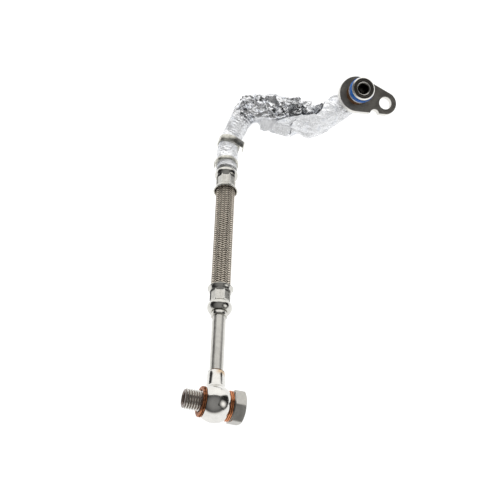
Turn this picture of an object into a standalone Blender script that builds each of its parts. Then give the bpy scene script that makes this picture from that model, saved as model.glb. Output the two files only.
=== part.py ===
"""Oil feed line for a turbocharger.

A banjo fitting with its hollow bolt feeds a short steel tube, a braided hose between two
crimped ferrules and a bent steel tube in a crumpled foil sleeve, which ends in a bolt-on
flange with a sealed spigot. Lengths are in metres and +Z is up. The line lies as it comes
to rest: on the hexagon of its bolt, on the far ferrule and on the sleeve below the flange.
"""
import math
import random

import bmesh
import bpy
from mathutils import Matrix, Vector

MM = 0.001

# Clearances
SEAT = 0.3 * MM                 # between faces that meet
RUNNING_FIT = 0.35 * MM         # between a round piece and the bore round it
SLEEVE_FIT = 0.5 * MM           # between the bent tube and the foil sleeve's bore

# How the line lies
HOSE_SLOPE = math.radians(2.2)      # the hose drops away from the banjo
BOLT_TILT = math.radians(19.7)      # the bolt's free end points up by this
HEXAGON_TURN = math.radians(44.3)   # first flat of the hexagon, from the top towards the near side

# Banjo body, about the centre of its ball
BALL_DIAMETER = 22.0 * MM
BANJO_WIDTH = 13.6 * MM         # over the two flats
NECK_DIAMETER = 11.0 * MM
NECK_LENGTH = 20.0 * MM         # from the ball's centre
NECK_ROUNDING = 3.6 * MM        # along the neck
NECK_MOUTH_WALL = 0.45 * MM
NECK_SOCKET_DEPTH = 6.0 * MM

# Hollow bolt
THREAD_DIAMETER = 12.0 * MM
BOLT_REACH = 18.6 * MM          # free end, from the ball's centre
BOLT_BORE = 7.2 * MM
BOLT_MOUTH_CHAMFER = 0.7 * MM
THREAD_CHAMFER = 0.9 * MM
SHANK_WAIST = 9.4 * MM          # between thread and head, where the oil crosses
CROSS_BORE = 3.6 * MM
HEXAGON_WIDTH = 18.0 * MM
HEXAGON_HEIGHT = 6.6 * MM
HEXAGON_CHAMFER = math.radians(28.0)
COLLAR_HEIGHT = 0.4 * MM        # round washer face under the hexagon

# Copper crush washers
WASHER_DIAMETER = 18.0 * MM
WASHER_THICKNESS = 2.0 * MM
WASHER_GROOVE = 0.6 * MM        # between the two folded lobes

# Steel tube
TUBE_DIAMETER = 8.0 * MM
TUBE_WALL = 1.0 * MM

# Braided hose and its ends, along the hose from the ball's centre
LOWER_FERRULE_START = 61.4 * MM
UPPER_FERRULE_END = 172.3 * MM
FERRULE_LENGTH = 17.4 * MM
FERRULE_DIAMETER = 15.0 * MM
FERRULE_WALL = 1.1 * MM
FERRULE_ROUNDING = 2.4 * MM
BEAD_LENGTH = 8.6 * MM          # uncrimped end round the hose's end
CRIMP_LENGTH = 5.6 * MM
CRIMP_DIAMETER = 12.6 * MM      # over the corners that the dies leave
CRIMP_RUN_IN = 2.2 * MM         # taper inside, from the bead to the crimp
CRIMP_FLATS = 8
CRIMP_FLAT_WIDTH = 11.8 * MM    # across two opposite flats
MOUTH_DIAMETER = 15.8 * MM
LIP_THICKNESS = 0.9 * MM
DIE_RAMP = 1.6 * MM             # slope of the dies' marks towards the mouth
DIE_SHOULDER = 2.6 * MM         # and towards the bead
DIE_EDGE = 0.4 * MM
BRAID_DIAMETER = 12.0 * MM
BRAID_WALL = 0.8 * MM
BRAID_COLUMNS = 16              # strands that run each way, which cross in as many columns
BRAID_PITCH = 2.5 * MM          # along the hose, between strands that run the same way
BRAID_DEPTH = 0.4 * MM          # of the pits between the strands
LINER_WALL = 0.75 * MM
HOSE_END_GAP = 0.6 * MM
NIPPLE_COLLAR_DIAMETER = 9.8 * MM
NIPPLE_COLLAR_LENGTH = 2.8 * MM
NIPPLE_NECK_DIAMETER = 8.4 * MM
NIPPLE_BORE = 3.6 * MM
NIPPLE_BARBS = 2
BARB_DEPTH = 0.35 * MM

# Bent tube: corners of its centre line from the ball's centre, x right and y along the hose
FIRST_CORNER = 196.0 * MM       # along the hose
CORNERS = (
    Vector((13.6, 226.3, -1.0)) * MM,
    Vector((59.1, 214.6, -5.5)) * MM,
    Vector((81.7, 235.2, -5.9)) * MM,
)
LAST_LEG = 20.0 * MM            # from the last corner to the flange's face
BEND_RADII = (30.0 * MM, 14.0 * MM, 14.0 * MM, 11.0 * MM)
BEND_STEP = 4.0 * MM            # between points in a bend
ROUTE_STEP = 3.1 * MM           # between places where the sleeve is shaped

# Flange
FLANGE_LEAN = math.radians(29.6)        # of its normal, from upright
FLANGE_LEAN_TOWARDS = math.radians(-63.8)
FLANGE_CLOCKING = math.radians(-6.9)    # of the bolt hole's arm, from the x direction
FLANGE_DIAMETER = 24.2 * MM
FLANGE_THICKNESS = 4.8 * MM
FLANGE_ARM = 20.4 * MM                  # spigot to bolt hole
ARM_END_DIAMETER = 15.4 * MM
BOLT_HOLE = 8.5 * MM
NOTCH_DIAMETER = 6.2 * MM
NOTCH_REACH = 14.9 * MM                 # from the spigot, along the arm
NOTCH_OFFSET = 0.4 * MM                 # its centre outside the plate's edge
FLANGE_EDGE = 0.35 * MM

# Spigot, from the flange's face
SPIGOT_DIAMETER = 15.6 * MM
SPIGOT_HEIGHT = 14.5 * MM
SPIGOT_RIM = 1.8 * MM
SPIGOT_CHAMFER = 0.8 * MM
SPIGOT_LOWER_RIM = 1.5 * MM
SPIGOT_LOWER_DIAMETER = 15.8 * MM
SPIGOT_NECK = 12.6 * MM
SPIGOT_TAIL = 11.2 * MM                 # through the plate
SPIGOT_BORE = 7.0 * MM
SPIGOT_COUNTERSINK = 0.7 * MM
TUBE_SOCKET_DEPTH = 1.2 * MM            # past the flange's face
O_RING_THICKNESS = 2.8 * MM             # across the flattened section
O_RING_WIDTH = 4.8 * MM                 # along the spigot
O_RING_ROUNDING = 1.2 * MM
O_RING_DIAMETER = 16.6 * MM
NECK_BRAZE_SIZE = 1.1 * MM
FLANGE_BRAZE_SIZE = 1.7 * MM

# Foil sleeve: wadding round the bore, at places along the bent tube
SLEEVE_START = -0.2 * MM                # ahead of the tube's end, over the nipple's collar
SLEEVE_SPLIT = 90.0 * MM                # where the main sleeve meets the flange sleeve
SLEEVE_END_GAP = 0.6 * MM               # below the flange
SLEEVE_PADDING = tuple((place * MM, depth * MM) for place, depth in (
    (0, 2.1), (8, 2.1), (14, 2.5), (22, 2.2), (32, 2.1), (42, 2.9), (52, 4.8),
    (64, 5.1), (84, 4.9), (98, 4.4), (112, 3.9), (126, 3.8), (142, 3.6),
))
CALM_PADDING = 2.7 * MM                 # up to this the foil lies smooth
LOOSE_PADDING = 2.0 * MM                # and with this much more it is crumpled all over
SPLIT_SLANT = 6.0 * MM                  # the split runs ahead on the far side and back on the near side
SPLIT_GAP = 1.1 * MM                    # along the tube, because the split lies in a bend
SEAM_WIDTH = 6.0 * MM                   # pinched seam, outward
SEAM_ANGLE = math.radians(102.0)        # from the top, towards the near side
SEAM_SPREAD = math.radians(17.0)
SEAM_START = 52.0 * MM
SEAM_END = 96.0 * MM
SEAM_RAMP = 8.0 * MM                    # over which each end of it rises
FLAP_HEIGHT = 5.6 * MM                  # loose corner of the main sleeve's end, on its far side
FLAP_ANGLE = math.radians(-78.0)
FLAP_SPREAD = math.radians(55.0)
FLAP_START = 58.0 * MM
CRUMPLE = 1.0 * MM
GATHER = 0.4 * MM
SLEEVE_SIDES = 20
SLEEVE_SEED = 11

# Strap ties round the sleeve
TIE_THICKNESS = 0.6 * MM
TIE_SEAT = 0.4 * MM                     # between the foil and the strap
TIE_PRESS = 1.6 * MM                    # how far past the strap's edge the foil stays flat
TIE_RELEASE = 1.6 * MM                  # and how soon its folds are whole again
TIE_LAP = math.radians(62.0)            # how far the strap laps over itself
LOWER_TIE_PLACE = 5.0 * MM              # along the bent tube
LOWER_TIE_WIDTH = 3.6 * MM
LOWER_TIE_LEAVES = math.radians(24.0)   # where the tail leaves the ring, above its side
LOWER_TIE_TAIL = 3.0 * MM
LOWER_TIE_HOOK = 3.0 * MM
UPPER_TIE_PLACE = 22.5 * MM
UPPER_TIE_WIDTH = 4.8 * MM
UPPER_TIE_LEAVES = math.radians(50.0)
UPPER_TIE_TAIL = 6.4 * MM
UPPER_TIE_HOOK = 4.6 * MM

ROUND = 24                              # facets round a turned piece
WASHER_ROUND = 18
SMALL_ROUND = 12                        # facets round a small or inner one

# Sizes that follow
BOLT_SEAT = BANJO_WIDTH / 2 + SEAT + WASHER_THICKNESS + SEAT
COLLAR_SOCKET = NIPPLE_COLLAR_LENGTH - 0.5 * MM
FERRULE_BACK = 1.4 * FERRULE_WALL
HOSE_END = FERRULE_BACK + HOSE_END_GAP
CRIMP_BORE = CRIMP_FLAT_WIDTH - 1.4 * FERRULE_WALL
STEM_DIAMETER = CRIMP_BORE - 2 * (SEAT + BRAID_WALL + SEAT + LINER_WALL + SEAT)
HOSE_AHEAD = Vector((0.0, math.cos(HOSE_SLOPE), -math.sin(HOSE_SLOPE)))
FLANGE_NORMAL = Vector((
    math.sin(FLANGE_LEAN) * math.cos(FLANGE_LEAN_TOWARDS),
    math.sin(FLANGE_LEAN) * math.sin(FLANGE_LEAN_TOWARDS),
    math.cos(FLANGE_LEAN),
))


def clear_scene():
    """Removes whatever the file opened with."""
    for thing in list(bpy.data.objects):
        bpy.data.objects.remove(thing, do_unlink=True)


def new_collection(name):
    group = bpy.data.collections.new(name)
    bpy.context.scene.collection.children.link(group)
    return group


clear_scene()
LINE = new_collection("turbo_oil_feed_line")
CUTTERS = new_collection("cutters")


def finish(name, colour, roughness, metallic):
    """A plain material in the piece's own colour."""
    material = bpy.data.materials.new(name)
    material.use_nodes = True
    shader = material.node_tree.nodes["Principled BSDF"]
    shader.inputs["Base Color"].default_value = (*colour, 1.0)
    shader.inputs["Roughness"].default_value = roughness
    shader.inputs["Metallic"].default_value = metallic
    return material


def place(thing, parent, where=(0.0, 0.0, 0.0), turn=None):
    thing.parent = parent
    thing.location = where
    if turn is not None:
        thing.rotation_mode = "QUATERNION"
        thing.rotation_quaternion = turn
    return thing


def add_object(name, data, group, parent, material=None):
    thing = bpy.data.objects.new(name, data)
    group.objects.link(thing)
    if material is not None:
        data.materials.append(material)
    return place(thing, parent)


def guide(name, parent, where=(0.0, 0.0, 0.0), turn=None):
    """An empty that other pieces hang from."""
    return place(add_object(name, None, LINE, parent), parent, where, turn)


def as_cutter(thing):
    thing.hide_render = True
    thing.display_type = "WIRE"
    return thing


def mesh_from(name, build):
    """A mesh filled by a function that works on a bmesh."""
    mesh = bpy.data.meshes.new(name)
    shape = bmesh.new()
    build(shape)
    shape.to_mesh(mesh)
    shape.free()
    return mesh


def smooth(thing, angle=35.0):
    thing.data.shade_smooth()
    thing.data.set_sharp_from_angle(angle=math.radians(angle))
    return thing


def arc(centre, radius, start, end, pieces):
    """Points on a circle from one angle to another, both ends included."""
    for index in range(pieces + 1):
        angle = start + (end - start) * index / pieces
        yield (centre[0] + radius * math.cos(angle), centre[1] + radius * math.sin(angle))


def turned(name, outline, group, parent, material=None, steps=ROUND, rounded=True):
    """A piece turned about its local Z axis from an outline of radius and height.

    A closed outline makes a ring. One that starts and ends on the axis makes a solid.
    """
    points = list(outline)
    on_axis = points[0][0] == 0.0
    area = sum(a[0] * b[1] - b[0] * a[1] for a, b in zip(points, points[1:] + points[:1]))
    if area > 0.0:
        points.reverse()

    def build(shape):
        corners = [shape.verts.new((radius, 0.0, height)) for radius, height in points]
        pairs = list(zip(corners, corners[1:]))
        if not on_axis:
            pairs.append((corners[-1], corners[0]))
        for pair in pairs:
            shape.edges.new(pair)

    thing = add_object(name, mesh_from(name, build), group, parent, material)
    screw = thing.modifiers.new("turn", "SCREW")
    screw.steps = steps
    screw.render_steps = steps
    screw.use_smooth_shade = rounded
    screw.use_merge_vertices = True
    screw.merge_threshold = 0.01 * MM
    return thing


def combine(thing, other, operation):
    cut = thing.modifiers.new(operation.lower() + " " + other.name, "BOOLEAN")
    cut.operation = operation
    cut.object = other
    cut.solver = "EXACT"
    return thing


def cut_away(thing, *cutters):
    for cutter in cutters:
        combine(thing, cutter, "DIFFERENCE")
    return thing


def rod(name, diameter, start, end, parent, steps=ROUND):
    """A round cutter along its parent's Z axis."""
    radius = diameter / 2
    outline = [(0.0, end), (radius, end), (radius, start), (0.0, start)]
    return as_cutter(turned(name, outline, CUTTERS, parent, steps=steps))


def curve_mesh(curve_object):
    """Turns a curve object into a welded mesh object in the same place, and removes the curve."""
    bpy.context.view_layer.update()
    evaluated = curve_object.evaluated_get(bpy.context.evaluated_depsgraph_get())
    mesh = bpy.data.meshes.new_from_object(evaluated)
    shape = bmesh.new()
    shape.from_mesh(mesh)
    bmesh.ops.remove_doubles(shape, verts=shape.verts, dist=0.01 * MM)
    bmesh.ops.recalc_face_normals(shape, faces=shape.faces)
    shape.to_mesh(mesh)
    shape.free()
    thing = bpy.data.objects.new(curve_object.name, mesh)
    for group in curve_object.users_collection:
        group.objects.link(thing)
    thing.parent = curve_object.parent
    thing.matrix_world = curve_object.matrix_world
    name = curve_object.name
    bpy.data.objects.remove(curve_object, do_unlink=True)
    thing.name = name
    return thing


def poly_curve(name, splines, group, parent, dimensions="3D", cyclic=False):
    """A curve object with straight pieces between the given points."""
    curve = bpy.data.curves.new(name, "CURVE")
    curve.dimensions = dimensions
    for points in splines:
        spline = curve.splines.new("POLY")
        spline.points.add(len(points) - 1)
        for target, point in zip(spline.points, points):
            target.co = (*point, 0.0, 1.0) if len(point) == 2 else (*point, 1.0)
        spline.use_cyclic_u = cyclic
    return add_object(name, curve, group, parent)


def axes_turn(local_x, local_z):
    """The rotation with the given directions for local X and Z, which are square to each other."""
    return Matrix((local_x, local_z.cross(local_x), local_z)).transposed().to_quaternion()


def between(value, table):
    """Straight-line reading of a table of pairs."""
    for (x0, y0), (x1, y1) in zip(table, table[1:]):
        if value <= x1:
            share = max(0.0, (value - x0) / (x1 - x0))
            return y0 + (y1 - y0) * share
    return table[-1][1]


# Banjo fitting


def make_bolt(axis, steel):
    """Hollow bolt: chamfered hexagon, washer face, waisted shank, axial bore and cross bores."""
    top = -BOLT_SEAT - COLLAR_HEIGHT
    bottom = top - HEXAGON_HEIGHT
    corner_radius = HEXAGON_WIDTH / math.sqrt(3.0)
    chamfer_start = HEXAGON_WIDTH / 2 - 0.2 * MM
    drop = (corner_radius - chamfer_start) * math.tan(HEXAGON_CHAMFER)
    chamfer_body = as_cutter(turned("hexagon_chamfer", [
        (0.0, top + MM), (corner_radius, top + MM), (corner_radius, bottom + drop),
        (chamfer_start, bottom), (0.0, bottom),
    ], CUTTERS, axis))
    thread = THREAD_DIAMETER / 2
    waist = SHANK_WAIST / 2
    waist_end = BANJO_WIDTH / 2 - 2.0 * MM
    shank = as_cutter(turned("bolt_shank", [
        (0.0, BOLT_REACH), (thread - THREAD_CHAMFER, BOLT_REACH), (thread, BOLT_REACH - THREAD_CHAMFER),
        (thread, waist_end), (waist, waist_end - (thread - waist)), (waist, -waist_end),
        (thread, -waist_end - (thread - waist)), (thread, -BOLT_SEAT),
        (HEXAGON_WIDTH / 2 - 0.5 * MM, -BOLT_SEAT), (HEXAGON_WIDTH / 2 - 0.5 * MM, top - MM), (0.0, top - MM),
    ], CUTTERS, axis))
    bore_end = -BANJO_WIDTH / 2
    bore = BOLT_BORE / 2
    bore_cutter = as_cutter(turned("bolt_bore", [
        (0.0, BOLT_REACH + MM), (bore + BOLT_MOUTH_CHAMFER + MM, BOLT_REACH + MM),
        (bore, BOLT_REACH - BOLT_MOUTH_CHAMFER), (bore, bore_end), (0.0, bore_end - bore * 0.6),
    ], CUTTERS, axis))
    bolt = turned("banjo_bolt", [
        (0.0, top), (corner_radius, top), (corner_radius, bottom), (0.0, bottom),
    ], LINE, axis, steel, steps=6, rounded=False)
    bolt.rotation_euler.z = -HEXAGON_TURN - math.pi / 6
    combine(bolt, chamfer_body, "INTERSECT")
    combine(bolt, shank, "UNION")
    cut_away(bolt, bore_cutter)
    for index in range(2):
        cross = rod(f"cross_bore_{index + 1}", CROSS_BORE, -THREAD_DIAMETER, THREAD_DIAMETER, axis, steps=16)
        cross.rotation_euler = (math.pi / 2, 0.0, index * math.pi / 2)
        cut_away(bolt, cross)
    return bolt


def make_washer(name, middle, axis, copper):
    """Folded copper washer: two round lobes outside with a groove between them."""
    inner = THREAD_DIAMETER / 2 + RUNNING_FIT
    outer = WASHER_DIAMETER / 2
    half = WASHER_THICKNESS / 2
    lobe = half / 2
    inner_edge = 0.3 * MM
    outline = [(inner, middle - half + inner_edge), (inner + inner_edge, middle - half)]
    outline += arc((outer - lobe, middle - lobe), lobe, -math.pi / 2, math.pi / 3, 3)
    outline.append((outer - WASHER_GROOVE, middle))
    outline += arc((outer - lobe, middle + lobe), lobe, -math.pi / 3, math.pi / 2, 3)
    outline += [(inner + inner_edge, middle + half), (inner, middle + half - inner_edge)]
    return turned(name, outline, LINE, axis, copper, steps=WASHER_ROUND)


def make_banjo(hose, bolt_axis, steel):
    """Polished ball with two flats, a cross bore for the bolt and a neck for the tube."""
    ball = BALL_DIAMETER / 2
    neck = NECK_DIAMETER / 2
    mouth = TUBE_DIAMETER / 2 + RUNNING_FIT + NECK_MOUTH_WALL
    neck_angle = math.asin(neck / ball)
    outline = [(0.0, NECK_LENGTH)]
    outline += [
        (mouth + (neck - mouth) * math.sin(angle), NECK_LENGTH - NECK_ROUNDING * (1.0 - math.cos(angle)))
        for angle in (math.pi / 2 * index / 3 for index in range(4))
    ]
    outline += [
        (ball * math.sin(angle), ball * math.cos(angle))
        for angle in (neck_angle + (math.pi - neck_angle) * index / 11 for index in range(11))
    ]
    outline.append((0.0, -ball))
    banjo = turned("banjo_body", outline, LINE, hose, steel)
    socket_foot = NECK_LENGTH - NECK_SOCKET_DEPTH
    socket = rod("neck_socket", TUBE_DIAMETER + 2 * RUNNING_FIT, socket_foot, NECK_LENGTH + MM, hose)
    passage = rod("neck_passage", TUBE_DIAMETER - 2 * TUBE_WALL, 0.0, NECK_LENGTH, hose)
    eye = rod("banjo_eye", THREAD_DIAMETER + 2 * RUNNING_FIT, -BALL_DIAMETER, BALL_DIAMETER, bolt_axis)
    cut_away(banjo, socket, passage, eye)
    for side in (-1.0, 1.0):
        def slab(shape, side=side):
            bmesh.ops.create_cube(shape, size=2 * BALL_DIAMETER, matrix=Matrix.Translation(
                (0.0, 0.0, side * (BANJO_WIDTH / 2 + BALL_DIAMETER))))
        name = "far_flat" if side > 0 else "head_flat"
        cut_away(banjo, as_cutter(add_object(name, mesh_from(name, slab), CUTTERS, bolt_axis)))
    return banjo


def make_braze(name, inner, foot, size, parent, material):
    """Fillet of filler metal round a joint, with its foot at a height along the axis."""
    outline = [(inner, foot + size), (inner, foot), (inner + size, foot)]
    outline += [
        (inner + size * (1.0 - math.sin(angle)), foot + size * (1.0 - math.cos(angle)))
        for angle in (math.pi / 2 * index / 3 for index in range(1, 3))
    ]
    return turned(name, outline, LINE, parent, material, steps=SMALL_ROUND)


def make_lower_tube(hose, steel):
    """Straight tube from the banjo's neck to the first nipple's collar."""
    outer = TUBE_DIAMETER / 2
    inner = outer - TUBE_WALL
    start = NECK_LENGTH - NECK_SOCKET_DEPTH + SEAT
    end = LOWER_FERRULE_START - SEAT - NIPPLE_COLLAR_LENGTH + COLLAR_SOCKET - SEAT
    return turned("lower_tube", [
        (inner, start), (outer, start), (outer, end), (inner, end),
    ], LINE, hose, steel)


# Hose and its ends, each end measured from the back of its ferrule towards the hose


def ferrule_bore(height):
    """Radius of the ferrule's bore at a height above its back."""
    crimp_bore = CRIMP_BORE / 2
    bead_bore = FERRULE_DIAMETER / 2 - FERRULE_WALL
    crimp_start = BEAD_LENGTH
    crimp_end = BEAD_LENGTH + CRIMP_LENGTH
    return between(height, (
        (crimp_start - CRIMP_RUN_IN, bead_bore), (crimp_start, crimp_bore), (crimp_end, crimp_bore),
        (FERRULE_LENGTH, MOUTH_DIAMETER / 2 - LIP_THICKNESS),
    ))


def make_ferrule(name, end, steel):
    """Crimped ferrule: rounded bead at the back, eight die flats and a flared mouth."""
    outer = FERRULE_DIAMETER / 2
    crimp = CRIMP_DIAMETER / 2
    crimp_end = BEAD_LENGTH + CRIMP_LENGTH
    mouth = MOUTH_DIAMETER / 2
    hole = NIPPLE_NECK_DIAMETER / 2 + SEAT
    outline = [(hole, 0.0)]
    outline += arc((outer - FERRULE_ROUNDING, FERRULE_ROUNDING), FERRULE_ROUNDING, -math.pi / 2, 0.0, 3)
    shoulder = outer - crimp
    outline += arc((outer - shoulder, BEAD_LENGTH - 2 * shoulder), shoulder, 0.0, math.pi / 3, 1)
    outline += [(crimp, BEAD_LENGTH), (crimp, crimp_end)]
    flare = FERRULE_LENGTH - crimp_end - LIP_THICKNESS / 2
    outline += [
        (crimp + (mouth - crimp) * share ** 1.6, crimp_end + flare * share)
        for share in (0.4, 0.7, 1.0)
    ]
    outline += [(mouth - LIP_THICKNESS * 0.3, FERRULE_LENGTH), (ferrule_bore(FERRULE_LENGTH), FERRULE_LENGTH)]
    outline += [
        (ferrule_bore(height), height)
        for height in (crimp_end, BEAD_LENGTH, BEAD_LENGTH - CRIMP_RUN_IN)
    ]
    outline += [(ferrule_bore(FERRULE_BACK), FERRULE_BACK), (hole, FERRULE_BACK)]
    ferrule = turned(name, outline, LINE, end, steel)
    corner = CRIMP_FLAT_WIDTH / 2 / math.cos(math.pi / CRIMP_FLATS)
    clear = MOUTH_DIAMETER
    die_start = BEAD_LENGTH - DIE_SHOULDER
    die_end = crimp_end + DIE_RAMP
    dies = as_cutter(turned(name + "_dies", [
        (clear, die_end), (corner + DIE_RAMP, die_end), (corner, crimp_end - DIE_EDGE),
        (corner, BEAD_LENGTH + DIE_EDGE), (corner + DIE_SHOULDER, die_start), (clear, die_start),
    ], CUTTERS, end, steps=CRIMP_FLATS))
    dies.rotation_euler.z = math.pi / CRIMP_FLATS
    return cut_away(ferrule, dies)


def braid_radius(height):
    """Outer radius of the braid at a height above the ferrule's back."""
    return min(BRAID_DIAMETER / 2, ferrule_bore(height) - SEAT)


def make_nipple(name, end, steel):
    """Nipple in the hose's end: collar with a socket for the tube, then a barbed stem."""
    collar = NIPPLE_COLLAR_DIAMETER / 2
    neck = NIPPLE_NECK_DIAMETER / 2
    stem = STEM_DIAMETER / 2
    bore = NIPPLE_BORE / 2
    socket = TUBE_DIAMETER / 2 + RUNNING_FIT * 0.8
    back = -SEAT - NIPPLE_COLLAR_LENGTH
    edge = 0.25 * MM
    outline = [(socket, back), (collar - 2 * edge, back), (collar, back + 2 * edge), (collar, -SEAT - edge)]
    outline += [(collar - edge, -SEAT), (neck, -SEAT), (neck, HOSE_END - SEAT)]
    root = stem - BARB_DEPTH
    outline.append((root, HOSE_END - SEAT))
    pitch = CRIMP_LENGTH / NIPPLE_BARBS
    for index in range(NIPPLE_BARBS):
        start = BEAD_LENGTH + index * pitch
        outline += [(stem, start), (root, start + 0.9 * pitch)]
    outline += [(root, FERRULE_LENGTH), (bore, FERRULE_LENGTH)]
    outline += [(bore, back + COLLAR_SOCKET), (socket, back + COLLAR_SOCKET)]
    return turned(name, outline, LINE, end, steel, steps=SMALL_ROUND)


def crossing_rows():
    """Places along the hose, from one ferrule's mouth to the other's, where strands cross."""
    start = LOWER_FERRULE_START + FERRULE_LENGTH
    end = UPPER_FERRULE_END - FERRULE_LENGTH
    count = 2 * round((end - start) / BRAID_PITCH)
    return [start + (end - start) * row / count for row in range(count + 1)]


def hose_layer(name, outer_offset, wall, hose, material, steps, rows=()):
    """One layer of the hose, swaged in at both crimps, from one ferrule's inside to the other's.

    Its outside gets a ring of points at each of the rows.
    """
    heights = [
        HOSE_END, BEAD_LENGTH - CRIMP_RUN_IN, BEAD_LENGTH, BEAD_LENGTH + CRIMP_LENGTH, FERRULE_LENGTH,
    ]
    lower = [(LOWER_FERRULE_START + height, braid_radius(height)) for height in heights]
    upper = [(UPPER_FERRULE_END - height, braid_radius(height)) for height in reversed(heights)]
    woven = [(along, BRAID_DIAMETER / 2) for along in rows]
    outside = [(radius - outer_offset, along) for along, radius in lower + woven + upper]
    inside = [(radius - outer_offset - wall, along) for along, radius in reversed(lower + upper)]
    return turned(name, outside + inside, LINE, hose, material, steps=steps)


def make_braid(hose, wire):
    """Woven layer: the strands are ridges that cross in staggered columns, with pits between them."""
    rows = crossing_rows()
    braid = hose_layer("hose_braid", 0.0, BRAID_WALL, hose, wire, BRAID_COLUMNS, rows[1:-1])
    bpy.context.view_layer.update()
    mesh = bpy.data.meshes.new_from_object(braid.evaluated_get(bpy.context.evaluated_depsgraph_get()))
    shape = bmesh.new()
    shape.from_mesh(mesh)
    crossings = []
    for vert in shape.verts:
        radius = math.hypot(vert.co.x, vert.co.y)
        row = (vert.co.z - rows[0]) / (rows[1] - rows[0])
        if radius < BRAID_DIAMETER / 2 - BRAID_DEPTH or not 0.5 < row < len(rows) - 1.5:
            continue
        column = math.atan2(vert.co.y, vert.co.x) / (2 * math.pi / BRAID_COLUMNS)
        if (round(row) + round(column)) % 2:
            vert.co.xy *= 1.0 - BRAID_DEPTH / radius
        else:
            crossings.append(vert)
    bmesh.ops.connect_verts(shape, verts=crossings)
    shape.to_mesh(mesh)
    shape.free()
    braid.modifiers.clear()
    braid.data = mesh
    return smooth(braid, 20.0)


# Bent tube


def fillet(before, corner, after, radius):
    """Points of a bend of a given radius in a corner of the centre line."""
    inward = (before - corner).normalized()
    onward = (after - corner).normalized()
    half_turn = (math.pi - inward.angle(onward)) / 2
    reach = radius * math.tan(half_turn)
    centre = corner + (inward + onward).normalized() * radius / math.cos(half_turn)
    start = corner + inward * reach - centre
    axis = start.cross(corner + onward * reach - centre).normalized()
    pieces = max(3, round(2 * half_turn * radius / BEND_STEP))
    return [
        centre + Matrix.Rotation(2 * half_turn * index / pieces, 3, axis) @ start
        for index in range(pieces + 1)
    ]


def bent_line():
    """Centre line of the bent tube from its start to its end, and the middle of the flange's face."""
    start = HOSE_AHEAD * (UPPER_FERRULE_END + SEAT + NIPPLE_COLLAR_LENGTH - COLLAR_SOCKET + SEAT)
    face = CORNERS[-1] + FLANGE_NORMAL * LAST_LEG
    end = face + FLANGE_NORMAL * (TUBE_SOCKET_DEPTH - SEAT)
    corners = [start, HOSE_AHEAD * FIRST_CORNER, *CORNERS, end]
    points = [start]
    for before, corner, after, radius in zip(corners, corners[1:], corners[2:], BEND_RADII):
        points += fillet(before, corner, after, radius)
    points.append(end)
    return points, face


class Route:
    """The centre line with its length, its directions and a frame that doesn't twist."""

    def __init__(self, corners):
        self.corners = corners
        points = [corners[0]]
        for a, b in zip(corners, corners[1:]):
            pieces = max(1, round((b - a).length / ROUTE_STEP))
            points += [a.lerp(b, index / pieces) for index in range(1, pieces + 1)]
        self.points = points
        self.lengths = [0.0]
        for a, b in zip(points, points[1:]):
            self.lengths.append(self.lengths[-1] + (b - a).length)
        self.length = self.lengths[-1]
        self.frames = []
        up = Vector((0.0, 0.0, 1.0))
        for index in range(len(points)):
            before = points[max(index - 1, 0)]
            after = points[min(index + 1, len(points) - 1)]
            ahead = (after - before).normalized()
            up = (up - ahead * up.dot(ahead)).normalized()
            self.frames.append((ahead, up.copy(), ahead.cross(up)))

    def at(self, distance):
        """Place, direction, up and near side at a distance from the start."""
        index = 0
        while index < len(self.lengths) - 2 and self.lengths[index + 1] < distance:
            index += 1
        share = (distance - self.lengths[index]) / (self.lengths[index + 1] - self.lengths[index])
        place_here = self.points[index].lerp(self.points[index + 1], share)
        ahead, up, near = (
            a.lerp(b, min(max(share, 0.0), 1.0)).normalized()
            for a, b in zip(self.frames[index], self.frames[index + 1])
        )
        return place_here, ahead, up, near


def route_rod(name, points, diameter, parent, group, caps, sides=8):
    """A round bar along the route."""
    bar = poly_curve(name, [points], group, parent)
    bar.data.bevel_depth = diameter / 2
    bar.data.bevel_resolution = sides // 2 - 2
    bar.data.use_fill_caps = caps
    return curve_mesh(bar)


def make_bent_tube(route, root, steel):
    """Tube along the route: an open skin with its wall added inward."""
    tube = route_rod("bent_tube", route.corners, TUBE_DIAMETER, root, LINE, caps=False)
    tube.data.materials.append(steel)
    wall = tube.modifiers.new("wall", "SOLIDIFY")
    wall.thickness = TUBE_WALL
    wall.offset = -1.0
    wall.use_even_offset = True
    return smooth(tube)


# Foil sleeve


def sleeve_radius(distance):
    """Mean radius of the sleeve at a distance along the bent tube."""
    return TUBE_DIAMETER / 2 + SLEEVE_FIT + between(distance, SLEEVE_PADDING)


def tie_pinch(distance):
    """0 under a strap tie, where the foil is pressed flat, and 1 clear of it."""
    free = 1.0
    for middle, width in ((LOWER_TIE_PLACE, LOWER_TIE_WIDTH), (UPPER_TIE_PLACE, UPPER_TIE_WIDTH)):
        free = min(free, max(0.0, (abs(distance - middle) - width / 2 - TIE_PRESS) / TIE_RELEASE))
    return free


def seam(distance, angle):
    """How far the pinched seam stands out of the sleeve."""
    if not SEAM_START < distance < SEAM_END:
        return 0.0
    ramp = min(1.0, (distance - SEAM_START) / SEAM_RAMP, (SEAM_END - distance) / SEAM_RAMP)
    off = abs(math.remainder(angle - SEAM_ANGLE, 2 * math.pi)) / SEAM_SPREAD
    return SEAM_WIDTH * ramp * max(0.0, 1.0 - off)


def flap(distance, angle):
    """How far the main sleeve's loose far corner stands out."""
    if not FLAP_START < distance < SLEEVE_SPLIT:
        return 0.0
    share = (distance - FLAP_START) / (SLEEVE_SPLIT - FLAP_START)
    off = abs(math.remainder(angle - FLAP_ANGLE, 2 * math.pi)) / FLAP_SPREAD
    return FLAP_HEIGHT * share * max(0.0, 1.0 - off)


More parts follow.
